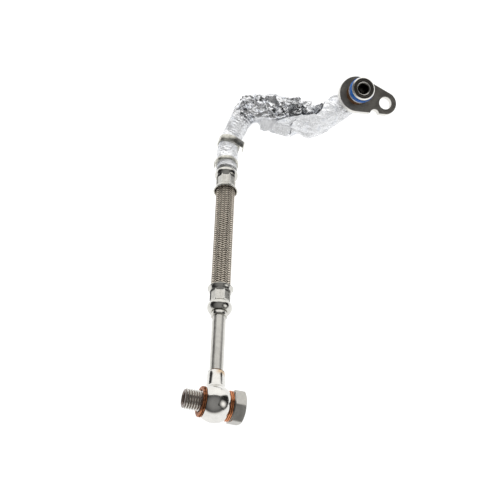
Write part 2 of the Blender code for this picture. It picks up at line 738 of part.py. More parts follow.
def make_sleeve(name, start, end, slants, route, root, foil, wider_mouths):
    """A crumpled, lofted sleeve round the route, with a bore for the tube."""
    draw = random.Random(SLEEVE_SEED + round(start / MM))
    rings = max(3, round((end - start) / ROUTE_STEP))

    def build(shape):
        loops = []
        for ring in range(rings + 1):
            share = ring / rings
            distance = start + (end - start) * share
            slant = slants[0] * (1.0 - share) ** 3 + slants[1] * share ** 3
            free = tie_pinch(distance)
            loop = []
            for side in range(SLEEVE_SIDES):
                angle = 2 * math.pi * (side + 0.5 * (ring % 2)) / SLEEVE_SIDES
                here, _, up, near = route.at(distance - slant * math.sin(angle))
                padding = sleeve_radius(distance) - TUBE_DIAMETER / 2 - SLEEVE_FIT
                slack = min(1.0, max(0.0, (padding - CALM_PADDING) / LOOSE_PADDING))
                crumple = CRUMPLE * slack * draw.uniform(-1.0, 1.0)
                gather = GATHER * (-1) ** ring * (1.0 - 0.6 * slack)
                radius = sleeve_radius(distance) + free * (crumple + gather)
                radius += seam(distance, angle) + flap(distance, angle)
                point = here + (up * math.cos(angle) + near * math.sin(angle)) * radius
                loop.append(shape.verts.new(point))
            loops.append(loop)
        for ring, (loop, onward) in enumerate(zip(loops, loops[1:])):
            for side in range(SLEEVE_SIDES):
                after = (side + 1) % SLEEVE_SIDES
                a, b, c, d = loop[side], loop[after], onward[after], onward[side]
                if ring % 2:
                    shape.faces.new((a, b, c))
                    shape.faces.new((a, c, d))
                else:
                    shape.faces.new((a, b, d))
                    shape.faces.new((b, c, d))
        for loop, distance in ((loops[0], start), (loops[-1], end)):
            middle = shape.verts.new(route.at(distance)[0])
            for side in range(SLEEVE_SIDES):
                shape.faces.new((loop[side], loop[(side + 1) % SLEEVE_SIDES], middle))
        bmesh.ops.recalc_face_normals(shape, faces=shape.faces)

    sleeve = add_object(name, mesh_from(name, build), LINE, root, foil)
    return cut_away(sleeve, *wider_mouths)


def make_sleeves(route, root, hose, foil):
    """The main sleeve over the arm and the bag, and the shorter one up to the flange."""
    bore = TUBE_DIAMETER + 2 * SLEEVE_FIT
    first = route.points[0] - (route.points[1] - route.points[0])
    last = route.points[-1] + (route.points[-1] - route.points[-2])
    bar = as_cutter(route_rod("sleeve_bore", [first, *route.corners, last], bore, root, CUTTERS, caps=True))
    mouth_end = UPPER_FERRULE_END + SEAT + NIPPLE_COLLAR_LENGTH + SEAT
    mouth = rod("sleeve_mouth", NIPPLE_COLLAR_DIAMETER + 2 * SEAT, UPPER_FERRULE_END - MM, mouth_end, hose)
    end = route.length - (TUBE_SOCKET_DEPTH - SEAT) - FLANGE_THICKNESS - SLEEVE_END_GAP
    main_end = SLEEVE_SPLIT - SPLIT_GAP / 2
    slants = (0.0, SPLIT_SLANT)
    make_sleeve("foil_sleeve_main", SLEEVE_START, main_end, slants, route, root, foil, (bar, mouth))
    start = SLEEVE_SPLIT + SPLIT_GAP / 2
    slants = (SPLIT_SLANT, 0.0)
    make_sleeve("foil_sleeve_flange_end", start, end, slants, route, root, foil, (bar,))


def make_tie(name, middle, width, side, leaves, tail, hook, route, root, steel):
    """Strap tie: a strip wound once round the sleeve, lapped over itself, with a hooked tail."""
    here, _, up, near = route.at(middle)
    inner = sleeve_radius(middle) + TIE_SEAT + TIE_THICKNESS / 2
    rise = TIE_THICKNESS + SEAT
    sweep = 2 * math.pi + TIE_LAP
    pieces = 32
    path = []
    for index in range(pieces + 1):
        left = sweep * (1.0 - index / pieces)
        climb = min(1.0, max(0.0, (1.8 * TIE_LAP - left) / (0.6 * TIE_LAP)))
        radius = inner + rise * climb
        path.append(Vector((radius * math.cos(leaves + left), radius * math.sin(leaves + left))))
    onward = Vector((math.sin(leaves), -math.cos(leaves)))
    path.append(path[-1] + onward * tail)
    path.append(path[-1] + Vector((-0.1, -1.0)).normalized() * hook)
    strip = poly_curve(name, [[(side * point.x, point.y) for point in path]], LINE, root, dimensions="2D")
    strip.data.fill_mode = "NONE"
    strip.data.extrude = width / 2
    strip.matrix_local = Matrix((near, up, near.cross(up))).transposed().to_4x4()
    strip.location = here
    strip = curve_mesh(strip)
    strip.data.materials.append(steel)
    thickness = strip.modifiers.new("thickness", "SOLIDIFY")
    thickness.thickness = TIE_THICKNESS
    thickness.offset = 0.0
    thickness.use_even_offset = True
    return smooth(strip)


# Flange


def flange_outline():
    """Pear-shaped outline: round the spigot, round the bolt hole, with a notch in the near edge."""
    big = FLANGE_DIAMETER / 2
    small = ARM_END_DIAMETER / 2
    tangent = math.acos((big - small) / FLANGE_ARM)
    outward = Vector((math.cos(tangent), -math.sin(tangent)))
    along = Vector((math.sin(tangent), math.cos(tangent)))
    edge_start = outward * big
    reach = (NOTCH_REACH - edge_start.x) / along.x
    notch = edge_start + along * reach + outward * NOTCH_OFFSET
    radius = NOTCH_DIAMETER / 2
    lip = math.acos(NOTCH_OFFSET / radius)
    inward = math.atan2(-outward.y, -outward.x)
    points = list(arc((0.0, 0.0), big, tangent, 2 * math.pi - tangent, 22))
    points += arc(notch, radius, inward + lip, inward - lip, 7)
    points += arc((FLANGE_ARM, 0.0), small, -tangent, tangent, 11)
    return points


def make_flange(flange, steel):
    """Flat plate with a hole for the spigot and one for the bolt, its edges slightly broken."""
    spigot_hole = SPIGOT_TAIL / 2 + SEAT
    once_round = 2 * math.pi * (ROUND - 1) / ROUND
    rings = [
        flange_outline(),
        list(arc((0.0, 0.0), spigot_hole, 0.0, once_round, ROUND - 1)),
        list(arc((FLANGE_ARM, 0.0), BOLT_HOLE / 2, 0.0, once_round, ROUND - 1)),
    ]
    plate = poly_curve("flange_plate", rings, LINE, flange, dimensions="2D", cyclic=True)
    plate.data.fill_mode = "BOTH"
    plate.data.extrude = FLANGE_THICKNESS / 2
    plate.location.z = -FLANGE_THICKNESS / 2
    plate = curve_mesh(plate)
    plate.data.materials.append(steel)
    broken_edge = plate.modifiers.new("broken edge", "BEVEL")
    broken_edge.width = FLANGE_EDGE
    broken_edge.segments = 1
    broken_edge.limit_method = "ANGLE"
    broken_edge.angle_limit = math.radians(60.0)
    return plate


def make_spigot(flange, steel):
    """Turned spigot through the plate: neck, lower rim, O-ring groove and end rim."""
    bore = SPIGOT_BORE / 2
    rim = SPIGOT_DIAMETER / 2
    lower = SPIGOT_LOWER_DIAMETER / 2
    neck = SPIGOT_NECK / 2
    tail = SPIGOT_TAIL / 2
    socket = TUBE_DIAMETER / 2 + RUNNING_FIT
    groove = O_RING_DIAMETER / 2 - O_RING_THICKNESS - SEAT
    rim_start = SPIGOT_HEIGHT - SPIGOT_RIM
    groove_start = rim_start - O_RING_WIDTH - 2 * SEAT
    lower_start = groove_start - SPIGOT_LOWER_RIM
    edge = 0.25 * MM
    outline = [(socket, -FLANGE_THICKNESS), (tail, -FLANGE_THICKNESS), (tail, SEAT), (neck, SEAT)]
    outline += [(neck, lower_start), (lower - edge, lower_start), (lower, lower_start + edge)]
    outline += [(lower, groove_start - edge), (lower - edge, groove_start), (groove, groove_start)]
    outline += [(groove, rim_start), (rim - edge, rim_start), (rim, rim_start + edge)]
    outline += [(rim, SPIGOT_HEIGHT - SPIGOT_CHAMFER), (rim - SPIGOT_CHAMFER, SPIGOT_HEIGHT)]
    outline += [(bore + SPIGOT_COUNTERSINK, SPIGOT_HEIGHT), (bore, SPIGOT_HEIGHT - SPIGOT_COUNTERSINK)]
    outline += [(bore, TUBE_SOCKET_DEPTH), (socket, TUBE_SOCKET_DEPTH)]
    return turned("spigot", outline, LINE, flange, steel)


def make_o_ring(flange, rubber):
    """Wide ring with a flattened section and round corners, in the spigot's groove."""
    outer = O_RING_DIAMETER / 2 - O_RING_ROUNDING
    inner = O_RING_DIAMETER / 2 - O_RING_THICKNESS + O_RING_ROUNDING
    top = SPIGOT_HEIGHT - SPIGOT_RIM - SEAT - O_RING_ROUNDING
    foot = SPIGOT_HEIGHT - SPIGOT_RIM - SEAT - O_RING_WIDTH + O_RING_ROUNDING
    quarter = math.pi / 2
    outline = []
    for index, corner in enumerate(((outer, top), (inner, top), (inner, foot), (outer, foot))):
        outline += arc(corner, O_RING_ROUNDING, index * quarter, (index + 1) * quarter, 1)
    return turned("o_ring", outline, LINE, flange, rubber)


def stand_on_origin(root):
    """Moves the whole line so that the origin is under the middle of its box."""
    bpy.context.view_layer.update()
    graph = bpy.context.evaluated_depsgraph_get()
    corners = []
    for thing in LINE.objects:
        if thing.type == "MESH":
            seen = thing.evaluated_get(graph)
            corners += [thing.matrix_world @ corner.co for corner in seen.data.vertices]
    low = [min(corner[axis] for corner in corners) for axis in range(3)]
    high = [max(corner[axis] for corner in corners) for axis in range(3)]
    root.location = (-(low[0] + high[0]) / 2, -(low[1] + high[1]) / 2, -low[2])


def main():
    polished = finish("polished_steel", (0.62, 0.61, 0.58), 0.12, 1.0)
    satin = finish("satin_steel", (0.36, 0.35, 0.32), 0.42, 1.0)
    tube_steel = finish("drawn_tube", (0.55, 0.54, 0.51), 0.22, 1.0)
    dark = finish("dark_plate", (0.11, 0.105, 0.1), 0.5, 1.0)
    copper = finish("copper", (0.62, 0.25, 0.12), 0.3, 1.0)
    braze = finish("braze", (0.3, 0.18, 0.09), 0.5, 1.0)
    braid = finish("braid_wire", (0.4, 0.36, 0.3), 0.35, 1.0)
    liner = finish("liner", (0.03, 0.03, 0.03), 0.6, 0.0)
    foil = finish("foil", (0.8, 0.81, 0.83), 0.25, 1.0)
    strap = finish("strap_steel", (0.38, 0.37, 0.33), 0.4, 1.0)
    blue = finish("seal", (0.02, 0.12, 0.42), 0.4, 0.0)

    root = guide("ball_centre", None)
    hose = guide("hose_axis", root, turn=axes_turn(Vector((1.0, 0.0, 0.0)), HOSE_AHEAD))
    bolt_ahead = Vector((-math.cos(BOLT_TILT), 0.0, math.sin(BOLT_TILT)))
    bolt_up = Vector((math.sin(BOLT_TILT), 0.0, math.cos(BOLT_TILT)))
    bolt_axis = guide("bolt_axis", root, turn=axes_turn(bolt_up, bolt_ahead))

    make_bolt(bolt_axis, satin)
    washer_middle = BANJO_WIDTH / 2 + SEAT + WASHER_THICKNESS / 2
    make_washer("washer_head_side", -washer_middle, bolt_axis, copper)
    make_washer("washer_thread_side", washer_middle, bolt_axis, copper)
    make_banjo(hose, bolt_axis, polished)
    make_braze("neck_braze", TUBE_DIAMETER / 2 + SEAT, NECK_LENGTH + SEAT, NECK_BRAZE_SIZE, hose, braze)
    make_lower_tube(hose, tube_steel)

    lower_end = guide("lower_hose_end", hose, (0.0, 0.0, LOWER_FERRULE_START))
    upper_end = guide("upper_hose_end", hose, (0.0, 0.0, UPPER_FERRULE_END))
    upper_end.rotation_euler.x = math.pi
    for which, end in (("lower", lower_end), ("upper", upper_end)):
        make_nipple(which + "_nipple", end, satin)
        make_ferrule(which + "_ferrule", end, satin)
    hose_layer("hose_liner", BRAID_WALL + SEAT, LINER_WALL, hose, liner, SMALL_ROUND)
    make_braid(hose, braid)

    corners, face = bent_line()
    route = Route(corners)
    make_bent_tube(route, root, tube_steel)
    make_sleeves(route, root, hose, foil)
    make_tie("tie_band_lower", LOWER_TIE_PLACE, LOWER_TIE_WIDTH, -1, LOWER_TIE_LEAVES, LOWER_TIE_TAIL,
             LOWER_TIE_HOOK, route, root, strap)
    make_tie("tie_band_upper", UPPER_TIE_PLACE, UPPER_TIE_WIDTH, 1, UPPER_TIE_LEAVES, UPPER_TIE_TAIL,
             UPPER_TIE_HOOK, route, root, strap)

    level = Vector((math.cos(FLANGE_CLOCKING), math.sin(FLANGE_CLOCKING), 0.0))
    arm = (level - Vector((0.0, 0.0, level.dot(FLANGE_NORMAL) / FLANGE_NORMAL.z))).normalized()
    flange = guide("flange_face", root, face, axes_turn(arm, FLANGE_NORMAL))
    make_flange(flange, dark)
    make_spigot(flange, dark)
    make_braze("flange_braze", SPIGOT_NECK / 2 + SEAT, SEAT, FLANGE_BRAZE_SIZE, flange, braze)
    make_o_ring(flange, blue)
    stand_on_origin(root)


main()
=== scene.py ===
"""Looks of a turbocharger's oil feed line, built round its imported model.

Laid out as an add-on: sizes and colours in property groups, one operator for each piece or
group of like pieces and one for the stage, and a panel that lists them. Lengths are in metres.
"""
import math

import bmesh
import bpy
from mathutils import Matrix, Vector, noise


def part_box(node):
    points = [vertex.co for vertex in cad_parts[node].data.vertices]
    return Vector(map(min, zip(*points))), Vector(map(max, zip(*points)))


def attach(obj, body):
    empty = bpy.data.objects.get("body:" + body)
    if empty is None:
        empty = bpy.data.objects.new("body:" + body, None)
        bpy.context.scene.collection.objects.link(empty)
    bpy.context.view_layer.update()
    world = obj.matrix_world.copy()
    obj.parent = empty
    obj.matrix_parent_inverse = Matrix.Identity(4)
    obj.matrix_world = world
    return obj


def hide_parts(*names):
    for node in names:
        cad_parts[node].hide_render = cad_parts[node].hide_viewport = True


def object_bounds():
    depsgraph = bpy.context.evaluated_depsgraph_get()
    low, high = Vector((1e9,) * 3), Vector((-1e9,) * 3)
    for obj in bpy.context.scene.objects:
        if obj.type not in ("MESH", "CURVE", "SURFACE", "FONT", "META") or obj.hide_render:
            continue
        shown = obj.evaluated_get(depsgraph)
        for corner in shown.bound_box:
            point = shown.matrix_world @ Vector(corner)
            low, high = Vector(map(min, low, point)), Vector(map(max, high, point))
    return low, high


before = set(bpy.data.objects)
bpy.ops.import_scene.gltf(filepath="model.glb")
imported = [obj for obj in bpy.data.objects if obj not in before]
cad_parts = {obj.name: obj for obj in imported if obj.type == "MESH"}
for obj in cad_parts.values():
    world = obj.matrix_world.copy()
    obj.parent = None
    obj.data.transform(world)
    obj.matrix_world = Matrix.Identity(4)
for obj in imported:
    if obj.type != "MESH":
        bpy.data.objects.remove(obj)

bl_info = {
    "name": "Turbo oil feed line",
    "version": (1, 0, 0),
    "blender": (4, 5, 0),
    "location": "3D View > Sidebar > Oil line",
    "description": "Finishes for a turbocharger's oil line with a braided hose and a foil sleeve",
    "category": "Object",
}

MM = 0.001
BODY = "root"
CAD_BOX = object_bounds()
# numbers that a mesh carries for its finish, in the order in which a point brings them
MARKS = ("mark", "under")
# edges over this many degrees stay sharp
SHARP = 32.0


def length(name, description, millimetres):
    """A length property, given in millimetres and kept in metres."""
    return bpy.props.FloatProperty(
        name=name, description=description, default=millimetres * MM, precision=5, unit="LENGTH")


def turn(name, description, degrees):
    """An angle property, given in degrees and kept in radians."""
    return bpy.props.FloatProperty(
        name=name, description=description, default=math.radians(degrees), unit="ROTATION")


def tint(name, description, red, green, blue):
    """A colour property in linear values."""
    return bpy.props.FloatVectorProperty(
        name=name, description=description, default=(red, green, blue), size=3, min=0.0, max=1.0,
        subtype="COLOR")


def share(name, description, value):
    """A plain number from 0 to 1."""
    return bpy.props.FloatProperty(
        name=name, description=description, default=value, min=0.0, max=1.0, subtype="FACTOR")


def amount(name, description, value, unit="NONE"):
    """A number from 0 up."""
    return bpy.props.FloatProperty(
        name=name, description=description, default=value, min=0.0, unit=unit)


def whole(name, description, value, least):
    """A whole number, from the least that makes sense."""
    return bpy.props.IntProperty(name=name, description=description, default=value, min=least)


def group(kind, name, description):
    """One of the panel's groups of sizes."""
    return bpy.props.PointerProperty(type=kind, name=name, description=description)


# Sizes and colours


class FittingSizes(bpy.types.PropertyGroup):
    """The banjo fitting, its bolt and its washers."""
    slope: turn("Hose slope", "How far the hose drops away from the banjo", 2.2)
    tilt: turn("Bolt tilt", "How far the bolt's free end points up", 19.7)
    ball: length("Ball", "Diameter of the banjo's ball", 22.0)
    width: length("Banjo width", "Over the two flats", 13.6)
    seat: length("Seat gap", "Between faces that meet", 0.3)
    neck: length("Neck", "Diameter of the banjo's neck", 11.0)
    neck_reach: length("Neck length", "From the ball's centre", 20.0)
    neck_rounding: length("Neck rounding", "Along the neck", 3.6)
    thread: length("Thread", "Outer diameter of the bolt's thread", 12.0)
    pitch: length("Thread pitch", "From ridge to ridge", 1.5)
    reach: length("Bolt reach", "Free end, from the ball's centre", 18.6)
    bore: length("Oil bore", "Diameter of the bore in the bolt", 7.2)
    hexagon: length("Hexagon", "Across two flats", 18.0)
    hexagon_height: length("Hexagon height", "Along the bolt", 6.6)
    hexagon_turn: turn("Hexagon turn", "First flat, from the top towards the near side", 44.3)
    collar: length("Washer face", "Height of the round face under the hexagon", 0.4)
    washer: length("Washer", "Outer diameter of a copper washer", 18.0)
    washer_height: length("Washer height", "Thickness of a copper washer", 2.0)


class HoseSizes(bpy.types.PropertyGroup):
    """The straight tube, the hose and its ferrules, along the hose from the ball's centre."""
    tube: length("Tube", "Outer diameter of the steel tube", 8.0)
    tube_start: length("Tube start", "Where the straight tube starts in the banjo's neck", 14.3)
    tube_end: length("Tube end", "Where the straight tube ends in the nipple's collar", 60.3)
    lower: length("Near ferrule", "Where the near ferrule starts", 61.4)
    upper: length("Far ferrule", "Where the far ferrule ends", 172.3)
    ferrule: length("Ferrule", "Diameter of the uncrimped bead", 15.0)
    ferrule_length: length("Ferrule length", "From the bead's back to the flared mouth", 17.4)
    bead: length("Bead length", "Uncrimped end of the ferrule", 6.4)
    crimp: length("Crimp length", "Stretch that the dies press", 7.8)
    corner: length("Crimp corners", "Diameter over the corners that the dies leave", 12.6)
    flat: length("Crimp flats", "Across two opposite flats", 11.8)
    wall: length("Ferrule wall", "Thickness of the ferrule's wall", 1.1)
    mouth: length("Mouth", "Outer diameter of the flared mouth", 15.8)
    lip: length("Lip", "Thickness of the flared lip", 0.9)
    braid: length("Braid", "Outer diameter of the braid", 12.0)
    strands: whole("Strands", "Strands that run each way round the braid", 16, 4)
    strand_rise: length("Strand rise", "Between strands that run the same way", 1.65)
    strand_height: length("Strand thickness", "Of one strand of wires", 0.34)
    strand_cover: share("Strand cover", "How much of its room a strand fills", 0.74)
    collar: length("Nipple collar", "Diameter of the nipple's collar", 9.8)
    collar_length: length("Collar length", "Of the nipple's collar", 2.8)
    nipple_neck: length("Nipple neck", "Diameter of the nipple in the ferrule's back", 8.4)


class TubeSizes(bpy.types.PropertyGroup):
    """The bent tube's route. Its corners are in CORNERS."""
    start: length("Tube start", "Where the bent tube starts, along the hose", 173.4)
    first: length("First corner", "Along the hose", 196.0)
    last_leg: length("Last leg", "From the last corner to the flange's face", 20.0)
    step: length("Step", "Between points in a bend", 1.0)


class FoilSizes(bpy.types.PropertyGroup):
    """The crumpled foil sleeve and its ties."""
    bore: length("Bore", "Diameter inside the sleeve", 9.0)
    begin: length("Begin", "Where the sleeve begins along the bent tube", -0.2)
    split: length("Split", "Where the two sleeves meet", 90.0)
    slant: length("Split slant", "How far the split runs ahead on the far side", 6.0)
    end_gap: length("End gap", "Below the flange", 0.6)
    seam: length("Seam", "How far the pinched seam stands out", 6.0)
    seam_turn: turn("Seam place", "From the top towards the near side", 102.0)
    flap: length("Flap", "How far the main sleeve's end stands out on the far side", 5.6)
    flap_turn: turn("Flap place", "From the top towards the near side", -78.0)
    flap_spread: turn("Flap spread", "Either way round", 55.0)
    flap_start: length("Flap start", "Where the main sleeve starts to widen into it", 58.0)
    crumple: length("Crumple", "Depth of the large folds", 1.25)
    gather: length("Gather", "Depth of the gathers inside a bend", 0.2)
    step: length("Step", "Between rings of the sleeve's mesh", 0.4)
    sides: whole("Sides", "Points round the sleeve", 176, 24)
    seed: whole("Seed", "Picks one pattern of facets, the same in each run", 8, 1)
    strap: length("Strap", "Thickness of a strap tie", 0.6)


class FlangeSizes(bpy.types.PropertyGroup):
    """The flange, its spigot and its seal."""
    lean: turn("Lean", "Of the flange's normal, from upright", 29.6)
    towards: turn("Lean direction", "From the x direction", -63.8)
    clocking: turn("Clocking", "Of the bolt hole's arm, from the x direction", -6.9)
    plate: length("Plate", "Diameter of the plate round the spigot", 24.2)
    thickness: length("Plate thickness", "Of the flange plate", 4.8)
    arm: length("Arm", "From the spigot to the bolt hole", 20.4)
    arm_end: length("Arm end", "Diameter of the arm's round end", 15.4)
    hole: length("Bolt hole", "Diameter of the bolt hole", 8.5)
    notch: length("Notch", "Diameter of the notch", 6.2)
    notch_reach: length("Notch place", "From the spigot, along the arm", 14.9)
    notch_offset: length("Notch offset", "Its centre outside the plate's edge", 0.4)
    edge: length("Edge", "Width of the plate's broken edge", 0.35)
    spigot: length("Spigot", "Diameter of the spigot's end rim", 15.6)
    height: length("Spigot height", "From the plate's face", 14.5)
    rim: length("Rim", "Height of the end rim", 1.8)
    lower_rim: length("Lower rim", "Height of the rim below the seal", 1.5)
    lower: length("Lower rim size", "Diameter of the rim below the seal", 15.8)
    neck: length("Neck", "Diameter of the spigot above the plate", 12.6)
    tail: length("Tail", "Diameter of the spigot through the plate", 11.2)
    bore: length("Bore", "Diameter of the oil bore", 7.0)
    seal: length("Seal thickness", "From the groove's floor outwards", 2.8)
    seal_width: length("Seal width", "Along the spigot", 4.8)
    seal_rounding: length("Seal rounding", "Of the seal's edges", 1.2)
    seal_size: length("Seal", "Outer diameter of the O-ring", 16.6)
    braze: length("Braze", "Size of the fillet at the spigot's foot", 1.2)


class Colours(bpy.types.PropertyGroup):
    """Base colours of the finishes."""
    polished: tint("Polished steel", "The banjo's ball", 0.72, 0.71, 0.68)
    satin: tint("Satin steel", "The hexagon", 0.49, 0.48, 0.45)
    drawn: tint("Drawn tube", "The steel tube and ferrules", 0.66, 0.65, 0.61)
    copper: tint("Copper", "The crush washers", 0.70, 0.27, 0.12)
    braze: tint("Braze", "Filler metal at the joints", 0.17, 0.085, 0.04)
    wire: tint("Braid wire", "The woven wire", 0.88, 0.80, 0.68)
    liner: tint("Liner", "The hose under the braid", 0.045, 0.028, 0.018)
    foil: tint("Foil", "The crumpled sleeve", 0.93, 0.94, 0.96)
    strap: tint("Strap", "The strap ties", 0.64, 0.63, 0.57)
    plate: tint("Plate", "The dark flange plate", 0.31, 0.295, 0.27)
    spigot: tint("Spigot", "The dark turned spigot", 0.15, 0.14, 0.125)
    bright: tint("Bright edge", "Turned and rubbed edges", 0.85, 0.84, 0.80)
    seal: tint("Seal", "The blue O-ring", 0.0, 0.075, 0.30)
    heat: tint("Heat tint", "Tan film by the brazed joint", 0.50, 0.33, 0.17)


class StageSizes(bpy.types.PropertyGroup):
    """The camera, the light and the floor."""
    aside: length("Camera aside", "Right of the ball's centre", 27.51)
    back: length("Camera back", "Nearer than the ball's centre", 279.48)
    above: length("Camera above", "Over the ball's centre", 571.31)
    pitch: turn("Camera pitch", "How far the camera looks down", 56.0)
    yaw: turn("Camera yaw", "How far it looks to the left of the hose", 1.53)
    lens: amount("Lens", "Focal length on a 36 mm wide sensor", 80.0, "CAMERA")
    floor: length("Floor", "Side of the floor", 4000.0)
    paper: tint("Paper", "Colour of the floor", 0.93, 0.93, 0.93)
    backdrop_top: turn("Backdrop top", "How high the white backdrop behind the part reaches", 62.0)
    backdrop_left: turn("Backdrop left", "How far it reaches to the left", 48.0)
    backdrop_right: turn("Backdrop right", "How far it reaches to the right", 54.0)
    glow: amount("Backdrop glow", "Brightness of the backdrop", 1.25)
    dusk: amount("Room glow", "Brightness of the dark room round the stage", 0.02)
    ceiling: amount("Ceiling glow", "Brightness of the patch over the camera", 0.26)
    box_glow: amount("Soft box", "Brightness of the soft box's middle", 1.5)
    box_away: length("Soft box away", "From the ball's centre", 600.0)
    box_width: length("Soft box width", "Across", 520.0)
    box_height: length("Soft box height", "Upwards", 620.0)
    fill: amount("Fill", "Power of the light overhead that gloss doesn't show", 11.0, "POWER")


class OilLine(bpy.types.PropertyGroup):
    """Everything that the panel lists."""
    fitting: group(FittingSizes, "Fitting", "Banjo fitting")
    hose: group(HoseSizes, "Hose", "Tube, hose and ferrules")
    tube: group(TubeSizes, "Tube", "Bent tube")
    foil: group(FoilSizes, "Foil", "Foil sleeve and ties")
    flange: group(FlangeSizes, "Flange", "Flange and spigot")
    colours: group(Colours, "Colours", "Finishes")
    stage: group(StageSizes, "Stage", "Camera and floor")


# corners of the bent tube, from the ball's centre: x right, y along the hose and z up
CORNERS = (
    Vector((13.6, 226.3, -1.0)) * MM,
    Vector((59.1, 214.6, -5.5)) * MM,
    Vector((81.7, 235.2, -5.9)) * MM,
)
BEND_RADII = (30.0 * MM, 14.0 * MM, 14.0 * MM, 11.0 * MM)
# how far the route runs on past the flange's face
TUBE_TAIL = 0.9 * MM
# thickness of the wadding at places along the sleeve
PADDING = tuple((place * MM, depth * MM) for place, depth in (
    (0, 2.1), (8, 2.1), (14, 2.5), (22, 2.2), (32, 2.1), (42, 2.9), (52, 4.8),
    (64, 5.1), (84, 4.9), (98, 4.4), (112, 3.9), (126, 3.8), (142, 3.6),
))


# Places


def settings():
    return bpy.context.scene.oil_line


def box_middle(node):
    low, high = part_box(node)
    return (low + high) / 2


def axes(origin, local_x, local_z):
    """A placing matrix from a point and two directions that are square to each other."""
    matrix = Matrix((local_x, local_z.cross(local_x), local_z)).transposed().to_4x4()
    matrix.translation = origin
    return matrix


def hose_ahead():
    slope = settings().fitting.slope
    return Vector((0.0, math.cos(slope), -math.sin(slope)))


def ball_centre():
    """The ball's centre, found from the straight tube that the hose's axis runs through."""
    hose = settings().hose
    return box_middle("lower_tube") - hose_ahead() * (hose.tube_start + hose.tube_end) / 2


def hose_place(along=0.0, backwards=False):
    """A place on the hose's axis, with local Z along it or back along it."""
    ahead = hose_ahead()
    origin = ball_centre() + ahead * along
    return axes(origin, Vector((1.0, 0.0, 0.0)), -ahead if backwards else ahead)


def bolt_place():
    tilt = settings().fitting.tilt
    ahead = Vector((-math.cos(tilt), 0.0, math.sin(tilt)))
    return axes(ball_centre(), Vector((math.sin(tilt), 0.0, math.cos(tilt))), ahead)


def flange_normal():
    flange = settings().flange
    return Vector((
        math.sin(flange.lean) * math.cos(flange.towards),
        math.sin(flange.lean) * math.sin(flange.towards),
        math.cos(flange.lean),
    ))


def flange_place():
    """The middle of the plate's outer face, with local X along its arm and local Z out of it."""
    sizes = settings()
    normal = flange_normal()
    level = Vector((math.cos(sizes.flange.clocking), math.sin(sizes.flange.clocking), 0.0))
    arm = (level - Vector((0.0, 0.0, level.dot(normal) / normal.z))).normalized()
    return axes(ball_centre() + CORNERS[-1] + normal * sizes.tube.last_leg, arm, normal)


# Meshes


def between(value, table):
    """Straight-line reading of a table of pairs."""
    for (x0, y0), (x1, y1) in zip(table, table[1:]):
        if value <= x1:
            return y0 + (y1 - y0) * max(0.0, (value - x0) / (x1 - x0))
    return table[-1][1]


def ease(low, high, value):
    """0 below low, 1 above high, and a smooth rise between them."""
    x = min(1.0, max(0.0, (value - low) / (high - low)))
    return x * x * (3.0 - 2.0 * x)


def soften(points, closed=True, pieces=3):
    """An outline whose corners are rounded. A point's third number is its radius."""
    result = []
    for index, point in enumerate(points):
        radius = point[2] if len(point) > 2 else 0.0
        here = Vector(point[:2])
        if radius == 0.0 or (not closed and index in (0, len(points) - 1)):
            result.append(tuple(here))
            continue
        before = Vector(points[index - 1][:2]) - here
        after = Vector(points[(index + 1) % len(points)][:2]) - here
        opening = before.angle(after)
        reach = min(radius / math.tan(opening / 2), 0.48 * before.length, 0.48 * after.length)
        start = here + before.normalized() * reach
        end = here + after.normalized() * reach
        for step in range(pieces + 1):
            part = step / pieces
            first = start.lerp(here, part)
            result.append(tuple(first.lerp(here.lerp(end, part), part)))
    return result


def arc(middle, size, first, last, count):
    """Points of an arc of a radius round a middle, from one angle to another."""
    return [
        (middle[0] + size * math.cos(first + (last - first) * index / count),
         middle[1] + size * math.sin(first + (last - first) * index / count))
        for index in range(count + 1)
    ]


def circle(middle, size, count):
    return arc(middle, size, 0.0, 2 * math.pi, count)[:-1]


def put(name, data):
    """An object for some data, in the scene."""
    thing = bpy.data.objects.new(name, data)
    bpy.context.scene.collection.objects.link(thing)
    return thing


def smooth(mesh, sharp):
    mesh.shade_smooth()
    mesh.set_sharp_from_angle(angle=math.radians(sharp))


def finished(shape, mesh):
    """Turns a shape's faces outwards and writes it to the mesh."""
    bmesh.ops.recalc_face_normals(shape, faces=shape.faces)
    shape.to_mesh(mesh)
    shape.free()


def piece(name, mesh, place, material, sharp=SHARP):
    """An object for a mesh, smooth apart from its edges over sharp degrees."""
    thing = put(name, mesh)
    mesh.materials.append(material)
    smooth(mesh, sharp)
    thing.matrix_world = place
    return thing


def skin(name, strips, material, place=Matrix.Identity(4), closed=True, sharp=SHARP):
    """A piece made of strips, each a skin through loops of points.

    A closed strip joins its last loop to its first, and an open one has a face at either end. A
    loop of one point is a tip. Each point comes with its marks, numbers that the finish reads.
    """
    mesh = bpy.data.meshes.new(name)
    shape = bmesh.new()
    marks_of_point = len(strips[0][0][0]) - 1
    layers = [shape.verts.layers.float.new(mark) for mark in MARKS[:marks_of_point]]
    for loops in strips:
        rows = []
        for loop in loops:
            rows.append([])
            for point, *marks in loop:
                vert = shape.verts.new(point)
                for layer, value in zip(layers, marks):
                    vert[layer] = value
                rows[-1].append(vert)
        pairs = list(zip(rows, rows[1:]))
        if closed:
            pairs.append((rows[-1], rows[0]))
        for low, high in pairs:
            count = max(len(low), len(high))
            for step in range(count):
                after = (step + 1) % count
                corners = (low[step % len(low)], low[after % len(low)],
                           high[after % len(high)], high[step % len(high)])
                shape.faces.new(list(dict.fromkeys(corners)))
        if not closed:
            for row in (rows[0], rows[-1]):
                if len(row) > 1:
                    shape.faces.new(row)
    finished(shape, mesh)
    return piece(name, mesh, place, material, sharp)


